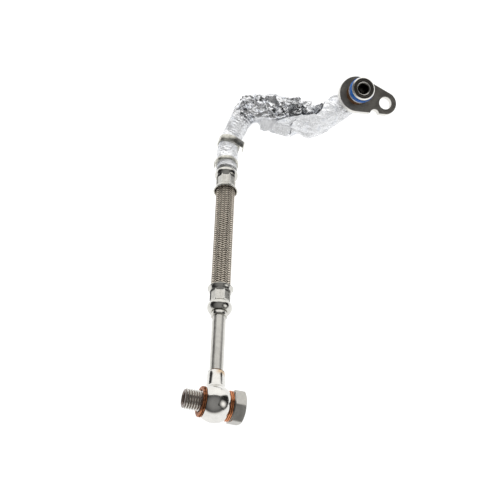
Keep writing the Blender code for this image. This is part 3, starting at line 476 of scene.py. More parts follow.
def lathe(name, outline, place, material, steps=96, closed=True, radius_at=None, marks=None):
    """A piece turned about its local Z axis from an outline of radius and height.

    A closed outline makes a ring, and an open one starts and ends on the axis. radius_at gives the
    radius for an angle, a radius and a height, and marks gives the point's mark in the same way.
    """
    loops = []
    for radius, height in outline:
        if radius == 0.0:
            loops.append([((0.0, 0.0, height), 0.0)])
            continue
        loops.append([])
        for step in range(steps):
            angle = 2 * math.pi * step / steps
            here = radius_at(angle, radius, height) if radius_at else radius
            mark = marks(angle, here, height) if marks else 0.0
            loops[-1].append(((here * math.cos(angle), here * math.sin(angle), height), mark))
    return skin(name, [loops], material, place, closed)


def stand_for(thing, slot, *nodes):
    """The piece takes the place of CAD nodes, which it hides, and hangs from the body's empty. slot
    is not used.
    """
    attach(thing, BODY)
    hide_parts(*nodes)
    return thing


def cut(thing, *cutters):
    """Cuts closed meshes out of a piece, applies the cuts and removes the cutters."""
    for cutter in cutters:
        modifier = thing.modifiers.new("cut", "BOOLEAN")
        modifier.operation = "DIFFERENCE"
        modifier.object = cutter
        modifier.solver = "EXACT"
    bpy.context.view_layer.update()
    seen = thing.evaluated_get(bpy.context.evaluated_depsgraph_get())
    mesh = bpy.data.meshes.new_from_object(seen)
    thing.modifiers.clear()
    thing.data = mesh
    smooth(mesh, SHARP)
    for cutter in cutters:
        bpy.data.objects.remove(cutter, do_unlink=True)
    return thing


# Finishes


class Wire:
    """An output of a material's node, with arithmetic that adds Math nodes."""

    def __init__(self, graph, socket):
        self.graph = graph
        self.socket = socket

    def _math(self, operation, first, second):
        return self.graph.node("ShaderNodeMath", {"operation": operation}, {0: first, 1: second})

    def __add__(self, other):
        return self._math("ADD", self, other)

    __radd__ = __add__

    def __mul__(self, other):
        return self._math("MULTIPLY", self, other)

    __rmul__ = __mul__

    def __sub__(self, other):
        return self._math("SUBTRACT", self, other)

    def __rsub__(self, other):
        return self._math("SUBTRACT", other, self)

    def __pow__(self, other):
        return self._math("POWER", self, other)

    def sine(self):
        return self._math("SINE", self, 0.0)

    def size(self):
        return self._math("ABSOLUTE", self, 0.0)

    def rise(self, low, high):
        """0 below low, 1 above high, and a smooth step between them."""
        return self.graph.node(
            "ShaderNodeMapRange", {"interpolation_type": "SMOOTHSTEP"},
            {"Value": self, "From Min": low, "From Max": high})


class Graph:
    """A node tree that nodes are added to."""

    def __init__(self, tree):
        self.tree = tree

    def node(self, kind, choices=None, inputs=None, output=0):
        """Any node: its type, its settings, and the values or links of its sockets."""
        made = self.tree.nodes.new(kind)
        for name, value in (choices or {}).items():
            setattr(made, name, value)
        for name, value in (inputs or {}).items():
            if isinstance(value, Wire):
                self.tree.links.new(value.socket, made.inputs[name])
            else:
                made.inputs[name].default_value = value
        return Wire(self, made.outputs[output])

    def part(self, vector):
        """The x, y and z of a vector."""
        split = self.tree.nodes.new("ShaderNodeSeparateXYZ")
        self.tree.links.new(vector.socket, split.inputs[0])
        return [Wire(self, output) for output in split.outputs]

    def vectors(self, operation, first, second, output=0):
        return self.node(
            "ShaderNodeVectorMath", {"operation": operation}, {0: first, 1: second}, output)

    def along(self, vector, direction):
        """How far a vector reaches along a direction."""
        return self.vectors("DOT_PRODUCT", vector, direction, "Value")


class Finish(Graph):
    """A material and its nodes."""

    def __init__(self, name, **constants):
        self.material = bpy.data.materials.new(name)
        self.material.use_nodes = True
        super().__init__(self.material.node_tree)
        self.shader = self.tree.nodes["Principled BSDF"]
        for socket, value in constants.items():
            self.shader.inputs[socket.replace("_", " ")].default_value = value

    def feed(self, socket, wire):
        self.tree.links.new(wire.socket, self.shader.inputs[socket])

    def place(self):
        """The piece's own coordinates, in millimetres."""
        local = self.node("ShaderNodeTexCoord", output="Object")
        return self.node(
            "ShaderNodeVectorMath", {"operation": "SCALE"}, {0: local, "Scale": 1.0 / MM})

    def stretch(self, vector, x, y, z):
        return self.vectors("MULTIPLY", vector, (x, y, z))

    def round_place(self, vector):
        """Radius and height of a turned piece's point, as a vector for marks that run round it."""
        x, y, z = self.part(vector)
        radius = (x * x + y * y) ** 0.5
        return self.node("ShaderNodeCombineXYZ", None, {0: radius, 1: z, 2: 0.0})

    def noise(self, vector, scale, detail=4.0, rough=0.6):
        return self.node(
            "ShaderNodeTexNoise", None,
            {"Vector": vector, "Scale": scale, "Detail": detail, "Roughness": rough})

    def cells(self, vector, scale, feature="F1", output="Distance"):
        return self.node(
            "ShaderNodeTexVoronoi", {"feature": feature},
            {"Vector": vector, "Scale": scale}, output)

    def facets(self, vector, size):
        """Height of flat facets about a size across, each tilted its own way."""
        middle = self.cells(vector, 1.0 / size, output="Position")
        chance = self.cells(vector, 1.0 / size, output="Color")
        away = self.vectors("SUBTRACT", vector, middle)
        tilt = self.vectors("SUBTRACT", chance, (0.5, 0.5, 0.5))
        return self.along(away, tilt)

    def mark(self, name="mark"):
        """A number that the mesh carries."""
        return self.node("ShaderNodeAttribute", {"attribute_name": name}, output="Fac")

    def blend(self, amount, first, second):
        """Colours mixed by an amount."""
        return self.node(
            "ShaderNodeMix", {"data_type": "RGBA"}, {0: amount, 6: first, 7: second}, 2)

    def bump(self, height, strength, distance, normal=None):
        inputs = {"Height": height, "Strength": strength, "Distance": distance}
        if normal is not None:
            inputs["Normal"] = normal
        return self.node("ShaderNodeBump", None, inputs)


def rgba(colour, factor=1.0):
    return (*(channel * factor for channel in colour), 1.0)


def turned_metal(name, colour, roughness, streak=0.12, marks=0.5, painted_shade=None, thread=None):
    """Metal with fine turning marks round its axis, smudges, and painted shade in a dark colour
    where the mesh is marked.

    thread is the height in millimetres from which the piece is smoother and brighter.
    """
    finish = Finish(name, Metallic=1.0)
    here = finish.place()
    rings = finish.noise(finish.round_place(here), 6.0, rough=0.7)
    smudge = finish.noise(here, 0.35)
    speck = finish.noise(here, 3.0, 3.0)
    tone = finish.blend(smudge.rise(0.3, 0.7), rgba(colour, 0.86), rgba(colour, 1.06))
    tone = finish.blend(rings * streak, tone, rgba(colour, 0.55))
    shine = 1.0
    if thread is not None:
        _, _, z = finish.part(here)
        rolled = z.rise(thread - 0.1, thread + 0.1)
        tone = finish.blend(rolled, tone, rgba(colour, 1.35))
        shine = 1.0 - 0.5 * rolled
    # painted shade: where the mesh is marked, the colour goes towards the given dark colour
    if painted_shade is not None:
        shade_amount = finish.mark() * (0.85 + 0.15 * speck)
        tone = finish.blend(shade_amount, tone, rgba(painted_shade))
        finish.feed("Metallic", 1.0 - 0.5 * shade_amount)
    finish.feed("Base Color", tone)
    finish.feed("Roughness", roughness * shine * (0.75 + 0.5 * smudge) + 0.08 * (rings - 0.5))
    finish.feed("Normal", finish.bump(rings + 0.4 * speck, marks * 0.3, 0.02 * MM))
    return finish.material


def polished_metal(name, colour, heat, reach):
    """Polished steel with faint haze, and a tan film of heat where the neck meets the tube."""
    finish = Finish(name, Metallic=1.0)
    here = finish.place()
    x, _, z = finish.part(here)
    haze = finish.noise(here, 0.28)
    fine = finish.noise(here, 5.0, 3.0)
    rings = finish.noise(finish.round_place(here), 5.0, 3.0)
    film = (z + 1.5 * haze).rise(reach - 3.4, reach - 0.4) * (x + 3.0 * haze).rise(0.5, 4.0)
    tone = finish.blend(haze.rise(0.35, 0.7), rgba(colour, 0.93), rgba(colour, 1.03))
    finish.feed("Base Color", finish.blend(film * 0.75, tone, rgba(heat)))
    finish.feed("Roughness", 0.07 + 0.09 * haze + 0.05 * fine)
    finish.feed("Normal", finish.bump(rings + 0.5 * fine, 0.08, 0.02 * MM))
    return finish.material


def copper_metal(name, colour, shade_share):
    """Copper with dark film in its folds and rubbed bright lobes. The last number is a share of
    painted shade over the whole washer.
    """
    finish = Finish(name, Metallic=1.0)
    here = finish.place()
    film = finish.noise(here, 0.55, 5.0, 0.65)
    rings = finish.noise(finish.round_place(here), 4.0, 3.0)
    dark = (finish.mark() + shade_share + 0.6 * film.rise(0.4, 0.7)).rise(0.1, 1.1)
    finish.feed("Base Color", finish.blend(dark, rgba(colour), rgba(colour, 0.2)))
    finish.feed("Roughness", 0.2 + 0.3 * dark + 0.15 * film)
    finish.feed("Normal", finish.bump(rings + film, 0.25, 0.04 * MM))
    return finish.material


def braze_metal(name, colour):
    """Brown, lumpy filler metal with a dull film."""
    finish = Finish(name)
    here = finish.place()
    lumps = finish.noise(here, 1.1, 5.0, 0.65)
    tone = finish.blend(lumps.rise(0.35, 0.7), rgba(colour, 0.5), rgba(colour, 1.3))
    finish.feed("Base Color", tone)
    finish.feed("Metallic", 0.9 - 0.5 * lumps)
    finish.feed("Roughness", 0.35 + 0.4 * lumps)
    finish.feed("Normal", finish.bump(lumps, 0.6, 0.1 * MM))
    return finish.material


def braid_metal(name, colour, gap, wires):
    """Flat strands of fine wires: the mesh is marked across a strand, from side to side. Painted
    shade darkens a strand's sides, the grooves between its wires and where it runs under.
    """
    finish = Finish(name, Metallic=1.0)
    here = finish.place()
    across = finish.mark()
    groove = (across * (wires * math.pi)).sine().size()
    smudge = finish.noise(here, 0.4)
    edge = (across - 0.5).size().rise(0.30, 0.5)
    tone = finish.blend(smudge.rise(0.3, 0.7), rgba(colour, 0.8), rgba(colour, 1.1))
    # painted shade at a strand's sides, in the grooves between its wires, and where it runs under
    painted_shade = edge + (1.0 - groove.rise(0.0, 0.5)) * 0.4 + 1.1 * finish.mark("under")
    finish.feed("Base Color", finish.blend(painted_shade.rise(0.15, 0.95), tone, rgba(gap)))
    finish.feed("Roughness", 0.3 + 0.15 * smudge)
    finish.feed("Normal", finish.bump(groove, 0.9, 0.08 * MM))
    return finish.material


def liner_rubber(name, colour):
    finish = Finish(name)
    here = finish.place()
    grain = finish.noise(here, 2.5)
    finish.feed("Base Color", finish.blend(grain, rgba(colour, 0.6), rgba(colour, 1.4)))
    finish.feed("Roughness", 0.5 + 0.3 * grain)
    return finish.material


def foil_metal(name, colour):
    """Bright foil: facets like mirrors, fine creases, and matt and pale where it's marked."""
    finish = Finish(name)
    here = finish.place()
    wander = finish.noise(here, 0.22, 3.0, 0.5)
    creases = finish.cells(here, 0.9, "DISTANCE_TO_EDGE")
    crinkle = finish.noise(here, 1.1)
    dull = finish.mark()
    tone = finish.blend(crinkle.rise(0.35, 0.7), rgba(colour, 0.92), rgba(colour, 1.03))
    tone = finish.blend(wander.rise(0.5, 0.75) * 0.4, tone, rgba((0.66, 0.71, 0.80)))
    finish.feed("Base Color", tone)
    finish.feed("Metallic", 1.0 - 0.75 * dull)
    finish.feed("Roughness", 0.05 + 0.08 * crinkle + 0.22 * dull)
    drawn = finish.stretch(here, 0.55, 1.0, 0.9)
    folds = (1.9 * finish.facets(drawn, 5.0) + 0.8 * finish.facets(drawn, 2.2)) * (1.0 - 0.9 * dull)
    coarse = finish.bump(creases.rise(0.0, 0.25), 0.35, 0.14 * MM, finish.bump(folds, 1.0, MM))
    finish.feed("Normal", finish.bump(crinkle, 0.35, 0.10 * MM, coarse))
    return finish.material


def strap_metal(name, colour):
    finish = Finish(name, Metallic=1.0)
    here = finish.place()
    film = finish.noise(here, 0.5, 5.0, 0.65)
    scratch = finish.noise(finish.stretch(here, 0.5, 0.5, 6.0), 2.2)
    tone = finish.blend(film.rise(0.3, 0.75), rgba(colour, 0.62), rgba(colour, 1.25))
    finish.feed("Base Color", tone)
    finish.feed("Roughness", 0.2 + 0.22 * film)
    finish.feed("Normal", finish.bump(scratch + 0.5 * film, 0.35, 0.05 * MM))
    return finish.material


def plate_metal(name, colour, bright):
    """Dark satin plate with fine grain, speckle, and sides that were cut bright."""
    finish = Finish(name, Metallic=1.0)
    here = finish.place()
    grain = finish.noise(finish.stretch(here, 0.6, 5.0, 1.0), 1.6, 5.0, 0.7)
    speck = finish.noise(here, 4.5, rough=0.7)
    film = finish.noise(here, 0.25)
    normal = finish.node("ShaderNodeNewGeometry", output="Normal")
    local = finish.node(
        "ShaderNodeVectorTransform",
        {"vector_type": "NORMAL", "convert_from": "WORLD", "convert_to": "OBJECT"},
        {"Vector": normal})
    _, _, facing = finish.part(local)
    side = 1.0 - facing.size().rise(0.25, 0.95)
    tone = finish.blend(film.rise(0.3, 0.7), rgba(colour, 0.8), rgba(colour, 1.25))
    tone = finish.blend(speck.rise(0.52, 0.75) * 0.4, tone, rgba(colour, 1.9))
    streaks = 0.65 + 0.35 * finish.noise(finish.stretch(here, 1.0, 1.0, 0.15), 1.2, 3.0)
    finish.feed("Base Color", finish.blend(side * streaks, tone, rgba(bright)))
    finish.feed("Roughness", 0.36 + 0.16 * film + 0.1 * grain - 0.08 * side)
    finish.feed("Normal", finish.bump(grain + 0.5 * speck, 0.3, 0.05 * MM))
    return finish.material


def spigot_metal(name, colour, bright):
    """Dark turned steel whose mesh is marked where its edges were cut bright."""
    finish = Finish(name, Metallic=1.0)
    here = finish.place()
    rings = finish.noise(finish.round_place(here), 3.6, rough=0.75)
    film = finish.noise(here, 0.5)
    tone = finish.blend(rings.rise(0.35, 0.7), rgba(colour, 0.5), rgba(colour, 1.3))
    finish.feed("Base Color", finish.blend(finish.mark(), tone, rgba(bright)))
    finish.feed("Roughness", 0.3 + 0.15 * film)
    finish.feed("Normal", finish.bump(rings, 0.5, 0.06 * MM))
    return finish.material


def seal_rubber(name, colour):
    """Blue rubber with a faint bloom and a moulded skin."""
    finish = Finish(name, Specular_IOR_Level=0.22)
    here = finish.place()
    bloom = finish.noise(here, 0.6)
    grain = finish.noise(here, 6.0, 3.0)
    finish.feed("Base Color", finish.blend(bloom.rise(0.4, 0.75), rgba(colour), rgba(colour, 1.5)))
    finish.feed("Roughness", 0.3 + 0.2 * bloom)
    finish.feed("Normal", finish.bump(grain, 0.15, 0.03 * MM))
    return finish.material


# Banjo fitting


def bolt_seat():
    """From the ball's centre to the face under the hexagon."""
    fitting = settings().fitting
    return fitting.width / 2 + fitting.seat + fitting.washer_height + fitting.seat


class OILLINE_OT_bolt(bpy.types.Operator):
    """Hollow bolt: hexagon, washer face, and a helical thread round the oil bore."""
    bl_idname = "oil_line.bolt"
    bl_label = "Hollow bolt"

    def execute(self, context):
        fitting = settings().fitting
        colours = settings().colours
        half = fitting.thread / 2
        pitch = fitting.pitch
        thread_depth = 0.613 * pitch
        half_crest = pitch / 16
        flank = 1.0 / math.tan(math.radians(30.0))
        cone_rise = math.tan(math.radians(28.0))
        thread_start = fitting.width / 2
        chamfer = 0.9 * MM
        mouth = 0.7 * MM
        seat = -bolt_seat()
        top = seat - fitting.collar
        bottom = top - fitting.hexagon_height
        flat = fitting.hexagon / 2
        corner = flat / math.cos(math.radians(30.0))
        face = flat - 0.2 * MM
        drop = (corner - face) * cone_rise
        bore = fitting.bore / 2

        def radius_at(angle, radius, height):
            if height < top + 0.01 * MM and radius > face - 0.01 * MM:
                off = math.remainder(angle + fitting.hexagon_turn, math.pi / 3)
                hexagon = min(flat / math.cos(off), corner - 0.08 * MM)
                cone = face + (height - bottom) / cone_rise
                return min(hexagon, cone)
            if height > thread_start and radius > bore + mouth + 0.01 * MM:
                place = (height / pitch - angle / (2 * math.pi)) % 1.0
                off = abs(place - 0.5) * pitch
                groove = min(thread_depth, max(0.0, off - half_crest) * flank)
                return min(half - groove, half - chamfer + (fitting.reach - height))
            return radius

        # painted shade: the thread's valleys and the bore are marked to be darkened
        def marks(angle, radius, height):
            if height <= thread_start:
                return 0.0
            if radius <= bore + 0.02 * MM:
                return 0.95
            return ease(0.25, 0.95, (half - radius) / thread_depth) * 0.9

        rows_in_chamfer = 8
        rows_per_pitch = 12
        outline = [(0.0, bottom), (face * 0.5, bottom), (face, bottom)]
        outline += [
            (corner, bottom + drop * row / rows_in_chamfer) for row in range(1, rows_in_chamfer + 1)
        ]
        collar = flat - 0.5 * MM
        outline += [
            (corner, (bottom + top) / 2), (corner, top - 0.12 * MM), (corner - 0.05 * MM, top),
            (collar, top + 0.02 * MM), (collar, seat), (half, seat), (half, thread_start),
        ]
        threaded = fitting.reach - thread_start
        rows = round(threaded / pitch * rows_per_pitch)
        outline += [(half, thread_start + threaded * row / rows) for row in range(1, rows + 1)]
        outline += soften([
            (half - chamfer, fitting.reach), (bore + mouth, fitting.reach, 0.1 * MM),
            (bore, fitting.reach - mouth, 0.2 * MM), (bore, 0.0),
        ], closed=False)[1:]
        outline += [(bore, -fitting.width / 2), (0.0, -fitting.width / 2 - 0.6 * bore)]
        # the dark colour is painted shade in the thread's valleys and in the bore
        material = turned_metal(
            "satin_steel", colours.satin, 0.36, painted_shade=(0.09, 0.045, 0.03), thread=thread_start / MM)
        bolt = lathe("hollow_bolt", outline, bolt_place(), material, 144, False, radius_at, marks)
        stand_for(bolt, "satin_steel", "banjo_bolt")
        return {"FINISHED"}


class OILLINE_OT_washers(bpy.types.Operator):
    """Two folded copper washers, each with two lobes and a groove between them."""
    bl_idname = "oil_line.washers"
    bl_label = "Copper washers"

    def execute(self, context):
        fitting = settings().fitting
        inner = fitting.thread / 2 + 0.35 * MM
        outer = fitting.washer / 2
        half = fitting.washer_height / 2
        middle = fitting.width / 2 + fitting.seat + half
        lobe = half / 2
        edge = 0.3 * MM
        groove_depth = 0.75 * MM
        groove_turn = math.radians(70.0)
        foot = outer - 2 * lobe
        # the thread-side washer gets painted shade, a darker copy of the same copper
        for name, side, shade_share in (
                ("washer_head_side", -1.0, 0.0), ("washer_thread_side", 1.0, 0.5)):
            centre = side * middle
            material = copper_metal(name + "_metal", settings().colours.copper, shade_share)

            def radius_at(angle, radius, height, side=side):
                if radius < foot:
                    return radius
                sag = 0.12 * MM * math.sin(3 * angle + side) + 0.07 * MM * math.sin(7 * angle + 2.0)
                return radius + sag - 0.12 * MM

            def marks(angle, radius, height, centre=centre):
                groove = 1.0 - ease(0.0, 0.35 * MM, abs(height - centre))
                return groove * ease(inner, foot, radius)

            low, high = centre - half, centre + half
            outline = [(inner, low + edge), (inner + edge, low), (foot, low)]
            outline += arc((outer - lobe, centre - lobe), lobe, math.radians(-90.0), groove_turn, 8)
            outline.append((outer - groove_depth, centre))
            outline += arc((outer - lobe, centre + lobe), lobe, -groove_turn, math.radians(90.0), 8)
            outline += [(foot, high), (inner + edge, high), (inner, high - edge)]
            washer = lathe(
                name + "_copper", outline, bolt_place(), material, 120, True, radius_at, marks)
            stand_for(washer, "copper", name)
        return {"FINISHED"}


class OILLINE_OT_banjo(bpy.types.Operator):
    """Polished ball between two flats, with its eye and its rounded neck."""
    bl_idname = "oil_line.banjo"
    bl_label = "Banjo"

    def execute(self, context):
        fitting = settings().fitting
        hose = settings().hose
        colours = settings().colours
        ball = fitting.ball / 2
        neck = fitting.neck / 2
        mouth = hose.tube / 2 + 0.8 * MM
        reach = fitting.neck_reach
        blend = 1.6 * MM
        slim = 0.25 * MM
        meet = math.asin(neck / ball)
        past_blend = meet + 0.3
        socket = mouth - 0.45 * MM
        floor = reach - 6.0 * MM
        outline = [(0.0, floor), (socket, floor), (socket, reach)]
        outline += [
            (mouth + (neck - slim - mouth) * math.sin(angle),
             reach - fitting.neck_rounding * (1.0 - math.cos(angle)))
            for angle in (math.pi / 2 * step / 12 for step in range(13))
        ]
        foot = ball * math.cos(meet)
        outline += soften([
            (neck + 0.4 * slim, foot + 1.3 * blend), (neck + 0.6 * slim, foot, 2.4 * blend),
            (ball * math.sin(past_blend), ball * math.cos(past_blend)),
        ], closed=False, pieces=6)[1:]
        pieces = 40
        for step in range(1, pieces):
            angle = past_blend + (math.pi - past_blend) * step / pieces
            outline.append((ball * math.sin(angle), ball * math.cos(angle)))
        outline.append((0.0, -ball))
        material = polished_metal("polished_steel", colours.polished, colours.heat, reach / MM)
        banjo = lathe("banjo_ball", outline, hose_place(), material, 128, False)
        flat = fitting.width / 2
        clear = fitting.ball
        eye = fitting.thread / 2 + 0.35 * MM
        cut(banjo, *(
            lathe(name, [(0.0, low), (radius, low), (radius, high), (0.0, high)],
                  bolt_place(), material, steps, False)
            for name, radius, low, high, steps in (
                ("flat_cutter", clear, -clear, -flat, 64), ("flat_cutter", clear, flat, clear, 64),
                ("eye_cutter", eye, -clear, clear, 96),
            )
        ))
        stand_for(banjo, "polished_steel", "banjo_body")
        return {"FINISHED"}


def braze_ring(name, inner, foot, size, place, material, seed):
    """A lumpy fillet round a joint."""
    outline = [(inner, foot), (inner + size, foot)]
    outline += [
        (inner + size * (1.0 - math.sin(angle)), foot + size * (1.0 - math.cos(angle)))
        for angle in (math.pi / 2 * step / 6 for step in range(1, 7))
    ]

    def radius_at(angle, radius, height):
        lump = noise.noise(Vector((3.0 * math.cos(angle), 3.0 * math.sin(angle), seed)))
        return radius + (radius - inner) * 0.35 * lump

    return lathe(name, outline, place, material, 96, True, radius_at)


class OILLINE_OT_brazes(bpy.types.Operator):
    """Brown fillets of filler metal at the banjo's neck and at the spigot's foot."""
    bl_idname = "oil_line.brazes"
    bl_label = "Brazed joints"

    def execute(self, context):
        sizes = settings()
        material = braze_metal("braze", sizes.colours.braze)
        gap = 0.02 * MM
        neck = braze_ring(
            "neck_filler", sizes.hose.tube / 2 + gap, sizes.fitting.neck_reach, 0.9 * MM,
            hose_place(), material, 1.0)
        stand_for(neck, "braze", "neck_braze")
        foot = braze_ring(
            "flange_filler", sizes.flange.neck / 2 + gap, 0.5 * sizes.fitting.seat,
            sizes.flange.braze, flange_place(), material, 7.0)
        stand_for(foot, "braze", "flange_braze")
        return {"FINISHED"}


# Straight tube, nipples and ferrules


class OILLINE_OT_tube(bpy.types.Operator):
    """Straight steel tube from the banjo to the hose."""
    bl_idname = "oil_line.tube"
    bl_label = "Straight tube"

    def execute(self, context):
        hose = settings().hose
        outer = hose.tube / 2
        inner = outer - 1.0 * MM
        start, end = hose.tube_start, hose.tube_end
        outline = [(inner, start), (outer, start), (outer, end), (inner, end)]
        material = turned_metal("drawn_tube", settings().colours.drawn, 0.33, 0.06, 0.2)
        tube = lathe("straight_tube", outline, hose_place(), material)
        stand_for(tube, "drawn_tube", "lower_tube")
        return {"FINISHED"}


def hose_ends():
    """Each end's name in this scene, its name in the model, and its ferrule's back."""
    hose = settings().hose
    return (
        ("near", "lower", hose_place(hose.lower)),
        ("far", "upper", hose_place(hose.upper, backwards=True)),
    )


def ferrule_bore(height):
    """Radius of the ferrule's bore at a height above its back."""
    hose = settings().hose
    crimp = hose.flat / 2 - 0.7 * hose.wall
    return between(height, (
        (hose.bead - 2.2 * MM, hose.ferrule / 2 - hose.wall), (hose.bead, crimp),
        (hose.bead + hose.crimp, crimp), (hose.ferrule_length, hose.mouth / 2 - hose.lip),
    ))


def make_ferrule(name, place, material):
    """Rounded bead, eight die flats with small ridges between them, and a flared mouth."""
    hose = settings().hose
    outer = hose.ferrule / 2
    crimp_end = hose.bead + hose.crimp
    mouth = hose.mouth / 2
    hole = hose.nipple_neck / 2 + 0.05 * MM
    flats = 8

    def radius_at(angle, radius, height):
        if radius < ferrule_bore(height) + 0.3 * MM and height > 0.5 * MM:
            return radius
        off = math.remainder(angle, 2 * math.pi / flats)
        ridge = 0.22 * MM * math.exp(-((abs(off) - math.pi / flats) / 0.06) ** 2)
        flat = hose.flat / 2 / math.cos(off) + ridge
        ramp = between(height, (
            (hose.bead - 2.0 * MM, 2.6 * MM), (hose.bead + 0.2 * MM, 0.0),
            (crimp_end - 0.3 * MM, 0.0), (crimp_end + 1.7 * MM, 1.9 * MM),
        ))
        return min(radius, flat + ramp)

    belly = 0.55 * hose.bead
    corner = hose.corner / 2 + 0.3 * MM
    lip = hose.lip / 2
    outline = [(hole, 0.0), (outer - 2.1 * MM, 0.0)]
    outline += [
        (outer - 1.7 * MM * abs(height / belly - 1.0) ** 2.1, height)
        for height in (hose.bead * (row + 0.15) / 14.15 for row in range(15))
    ]
    rows = 12
    outline += [(corner, hose.bead + hose.crimp * row / rows) for row in range(1, rows)]
    outline += [
        (corner + (mouth - corner) * part ** 2.2,
         crimp_end + (hose.ferrule_length - crimp_end - lip) * part)
        for part in (row / 10 for row in range(11))
    ]
    outline += arc((mouth - lip, hose.ferrule_length - lip), lip, 0.0, math.pi, 8)
    outline += [(ferrule_bore(height), height) for height in (
        crimp_end + 1.5 * MM, crimp_end, hose.bead, hose.bead - 2.2 * MM, 1.5 * MM)]
    outline.append((hole, 1.5 * MM))

    # marks for painted shade inside the bore, and for darker streaks on the crimp flats
    def marks(angle, radius, height):
        if height > hose.ferrule_length - lip:
            return 0.0
        inside = 1.0 - ease(0.05 * MM, 0.25 * MM, radius - ferrule_bore(height))
        pressed = ease(hose.bead, hose.bead + MM, height)
        pressed *= 1.0 - ease(crimp_end, crimp_end + MM, height)
        rim = Vector((9.0 * math.cos(angle), 9.0 * math.sin(angle), 3.0))
        streak = 0.5 + 0.9 * noise.noise(rim)
        return max(inside * ease(0.5 * MM, 1.5 * MM, height), 0.4 * pressed * streak)

    return lathe(name, outline, place, material, 160, True, radius_at, marks)


class OILLINE_OT_ferrules(bpy.types.Operator):
    """Crimped ferrules at both ends of the hose."""
    bl_idname = "oil_line.ferrules"
    bl_label = "Ferrules"

    def execute(self, context):
        # the dark colour paints shade inside the bores and darker streaks on the crimp flats
        material = turned_metal(
            "crimped_steel", settings().colours.drawn, 0.17, 0.16, 0.3, (0.05, 0.035, 0.022))
        for end, node, place in hose_ends():
            ferrule = make_ferrule(end + "_ferrule", place, material)
            stand_for(ferrule, "satin_steel", node + "_ferrule")
        return {"FINISHED"}


class OILLINE_OT_nipples(bpy.types.Operator):
    """Collars of the two nipples, which close the ferrules' backs."""
    bl_idname = "oil_line.nipples"
    bl_label = "Nipples"

    def execute(self, context):
        sizes = settings()
        hose = sizes.hose
        seat = sizes.fitting.seat
        back = -seat - hose.collar_length
        socket = hose.tube / 2 + 0.05 * MM
        collar = hose.collar / 2
        neck = hose.nipple_neck / 2
        bore = 1.8 * MM
        stem = 8.0 * MM
        depth = 2.3 * MM
        outline = soften([
            (socket, back), (collar, back, 0.5 * MM), (collar, -seat, 0.3 * MM), (neck, -seat),
            (neck, stem), (bore, stem), (bore, back + depth), (socket, back + depth),
        ])
        material = turned_metal("nipple_steel", sizes.colours.drawn, 0.2, 0.08, 0.3)
        for end, node, place in hose_ends():
            nipple = lathe(end + "_nipple", outline, place, material)
            stand_for(nipple, "satin_steel", node + "_nipple")
        return {"FINISHED"}


# Hose


class OILLINE_OT_braid(bpy.types.Operator):
    """Woven wire: flat strands both ways round, each over two and under two."""
    bl_idname = "oil_line.braid"
    bl_label = "Braid"

    def execute(self, context):
        sizes = settings()
        hose = sizes.hose
        count = hose.strands
        spacing = 2 * math.pi / count
        lead = hose.strand_rise * count
        start = hose.lower + hose.bead + hose.crimp
        end = hose.upper - hose.bead - hose.crimp
        helix = math.atan(math.pi * hose.braid / lead)
        width = math.pi * hose.braid / count * math.cos(helix) * hose.strand_cover
        thick = hose.strand_height
        lift_share = 0.58
        wall = 0.6 * MM
        samples_per_crossing = 4
        crossing = spacing / 2
        steps = round((end - start) / lead * 2 * math.pi / crossing * samples_per_crossing)
        place = hose_place()
        section = ((-0.5, -0.1), (-0.36, 0.36), (0.0, 0.5), (0.36, 0.36), (0.5, -0.1))

        strips = []
        for way in (1.0, -1.0):
            for strand in range(count):
                loops = []
                for step in range(steps + 1):
                    along = start + (end - start) * step / steps
                    turned = 2 * math.pi * (along - start) / lead
                    angle = way * turned + strand * spacing
                    # the crossing columns alternate between the two ways, two crossings wide
                    column = angle / spacing * math.pi
                    over = max(-1.0, min(1.0, 1.7 * (math.sin(column) * way)))
                    lift = thick * lift_share * over
                    near_end = min(along - hose.lower, hose.upper - along)
                    limit = ferrule_bore(near_end) - sizes.fitting.seat * 0.5
                    middle = min(hose.braid / 2, limit) - thick * 1.08
                    slant = Vector((math.cos(helix) * way, -math.sin(helix)))
                    loops.append([])
                    for side, rise in section:
                        shift = slant * side * width
                        around = angle + shift.x / middle
                        radius = middle + lift + rise * thick
                        point = Vector((
                            radius * math.cos(around), radius * math.sin(around), along + shift.y))
                        # the second mark is how far the strand runs under the other way, where the
                        # finish paints shade
                        loops[-1].append((place @ point, side + 0.5, 0.5 - 0.5 * over))
                strips.append(loops)
        # the dark colour is the painted shade at the strands' sides and under them
        material = braid_metal("braid_wire", sizes.colours.wire, (0.045, 0.026, 0.016), 5)
        braid = skin("braid_strands", strips, material, closed=False, sharp=60.0)
        stand_for(braid, "braid_wire", "hose_braid")

        outer = hose.braid / 2 - thick * 1.9
        inner = outer - wall
        outline = [(outer, start), (outer, end), (inner, end), (inner, start)]
        core = lathe("hose_core", outline, place, liner_rubber("liner", sizes.colours.liner))
        stand_for(core, "liner", "hose_liner")
        return {"FINISHED"}


# Bent tube and foil


def fillet(before, corner, after, radius, step):
    """Points of a bend of a given radius in a corner of the centre line."""
    inward = (before - corner).normalized()
    onward = (after - corner).normalized()
    half_turn = (math.pi - inward.angle(onward)) / 2
    reach = radius * math.tan(half_turn)
    centre = corner + (inward + onward).normalized() * radius / math.cos(half_turn)
    start = corner + inward * reach - centre
    axis = start.cross(corner + onward * reach - centre).normalized()
    pieces = max(3, round(2 * half_turn * radius / step))
    return [
        centre + Matrix.Rotation(2 * half_turn * index / pieces, 3, axis) @ start
        for index in range(pieces + 1)
    ]


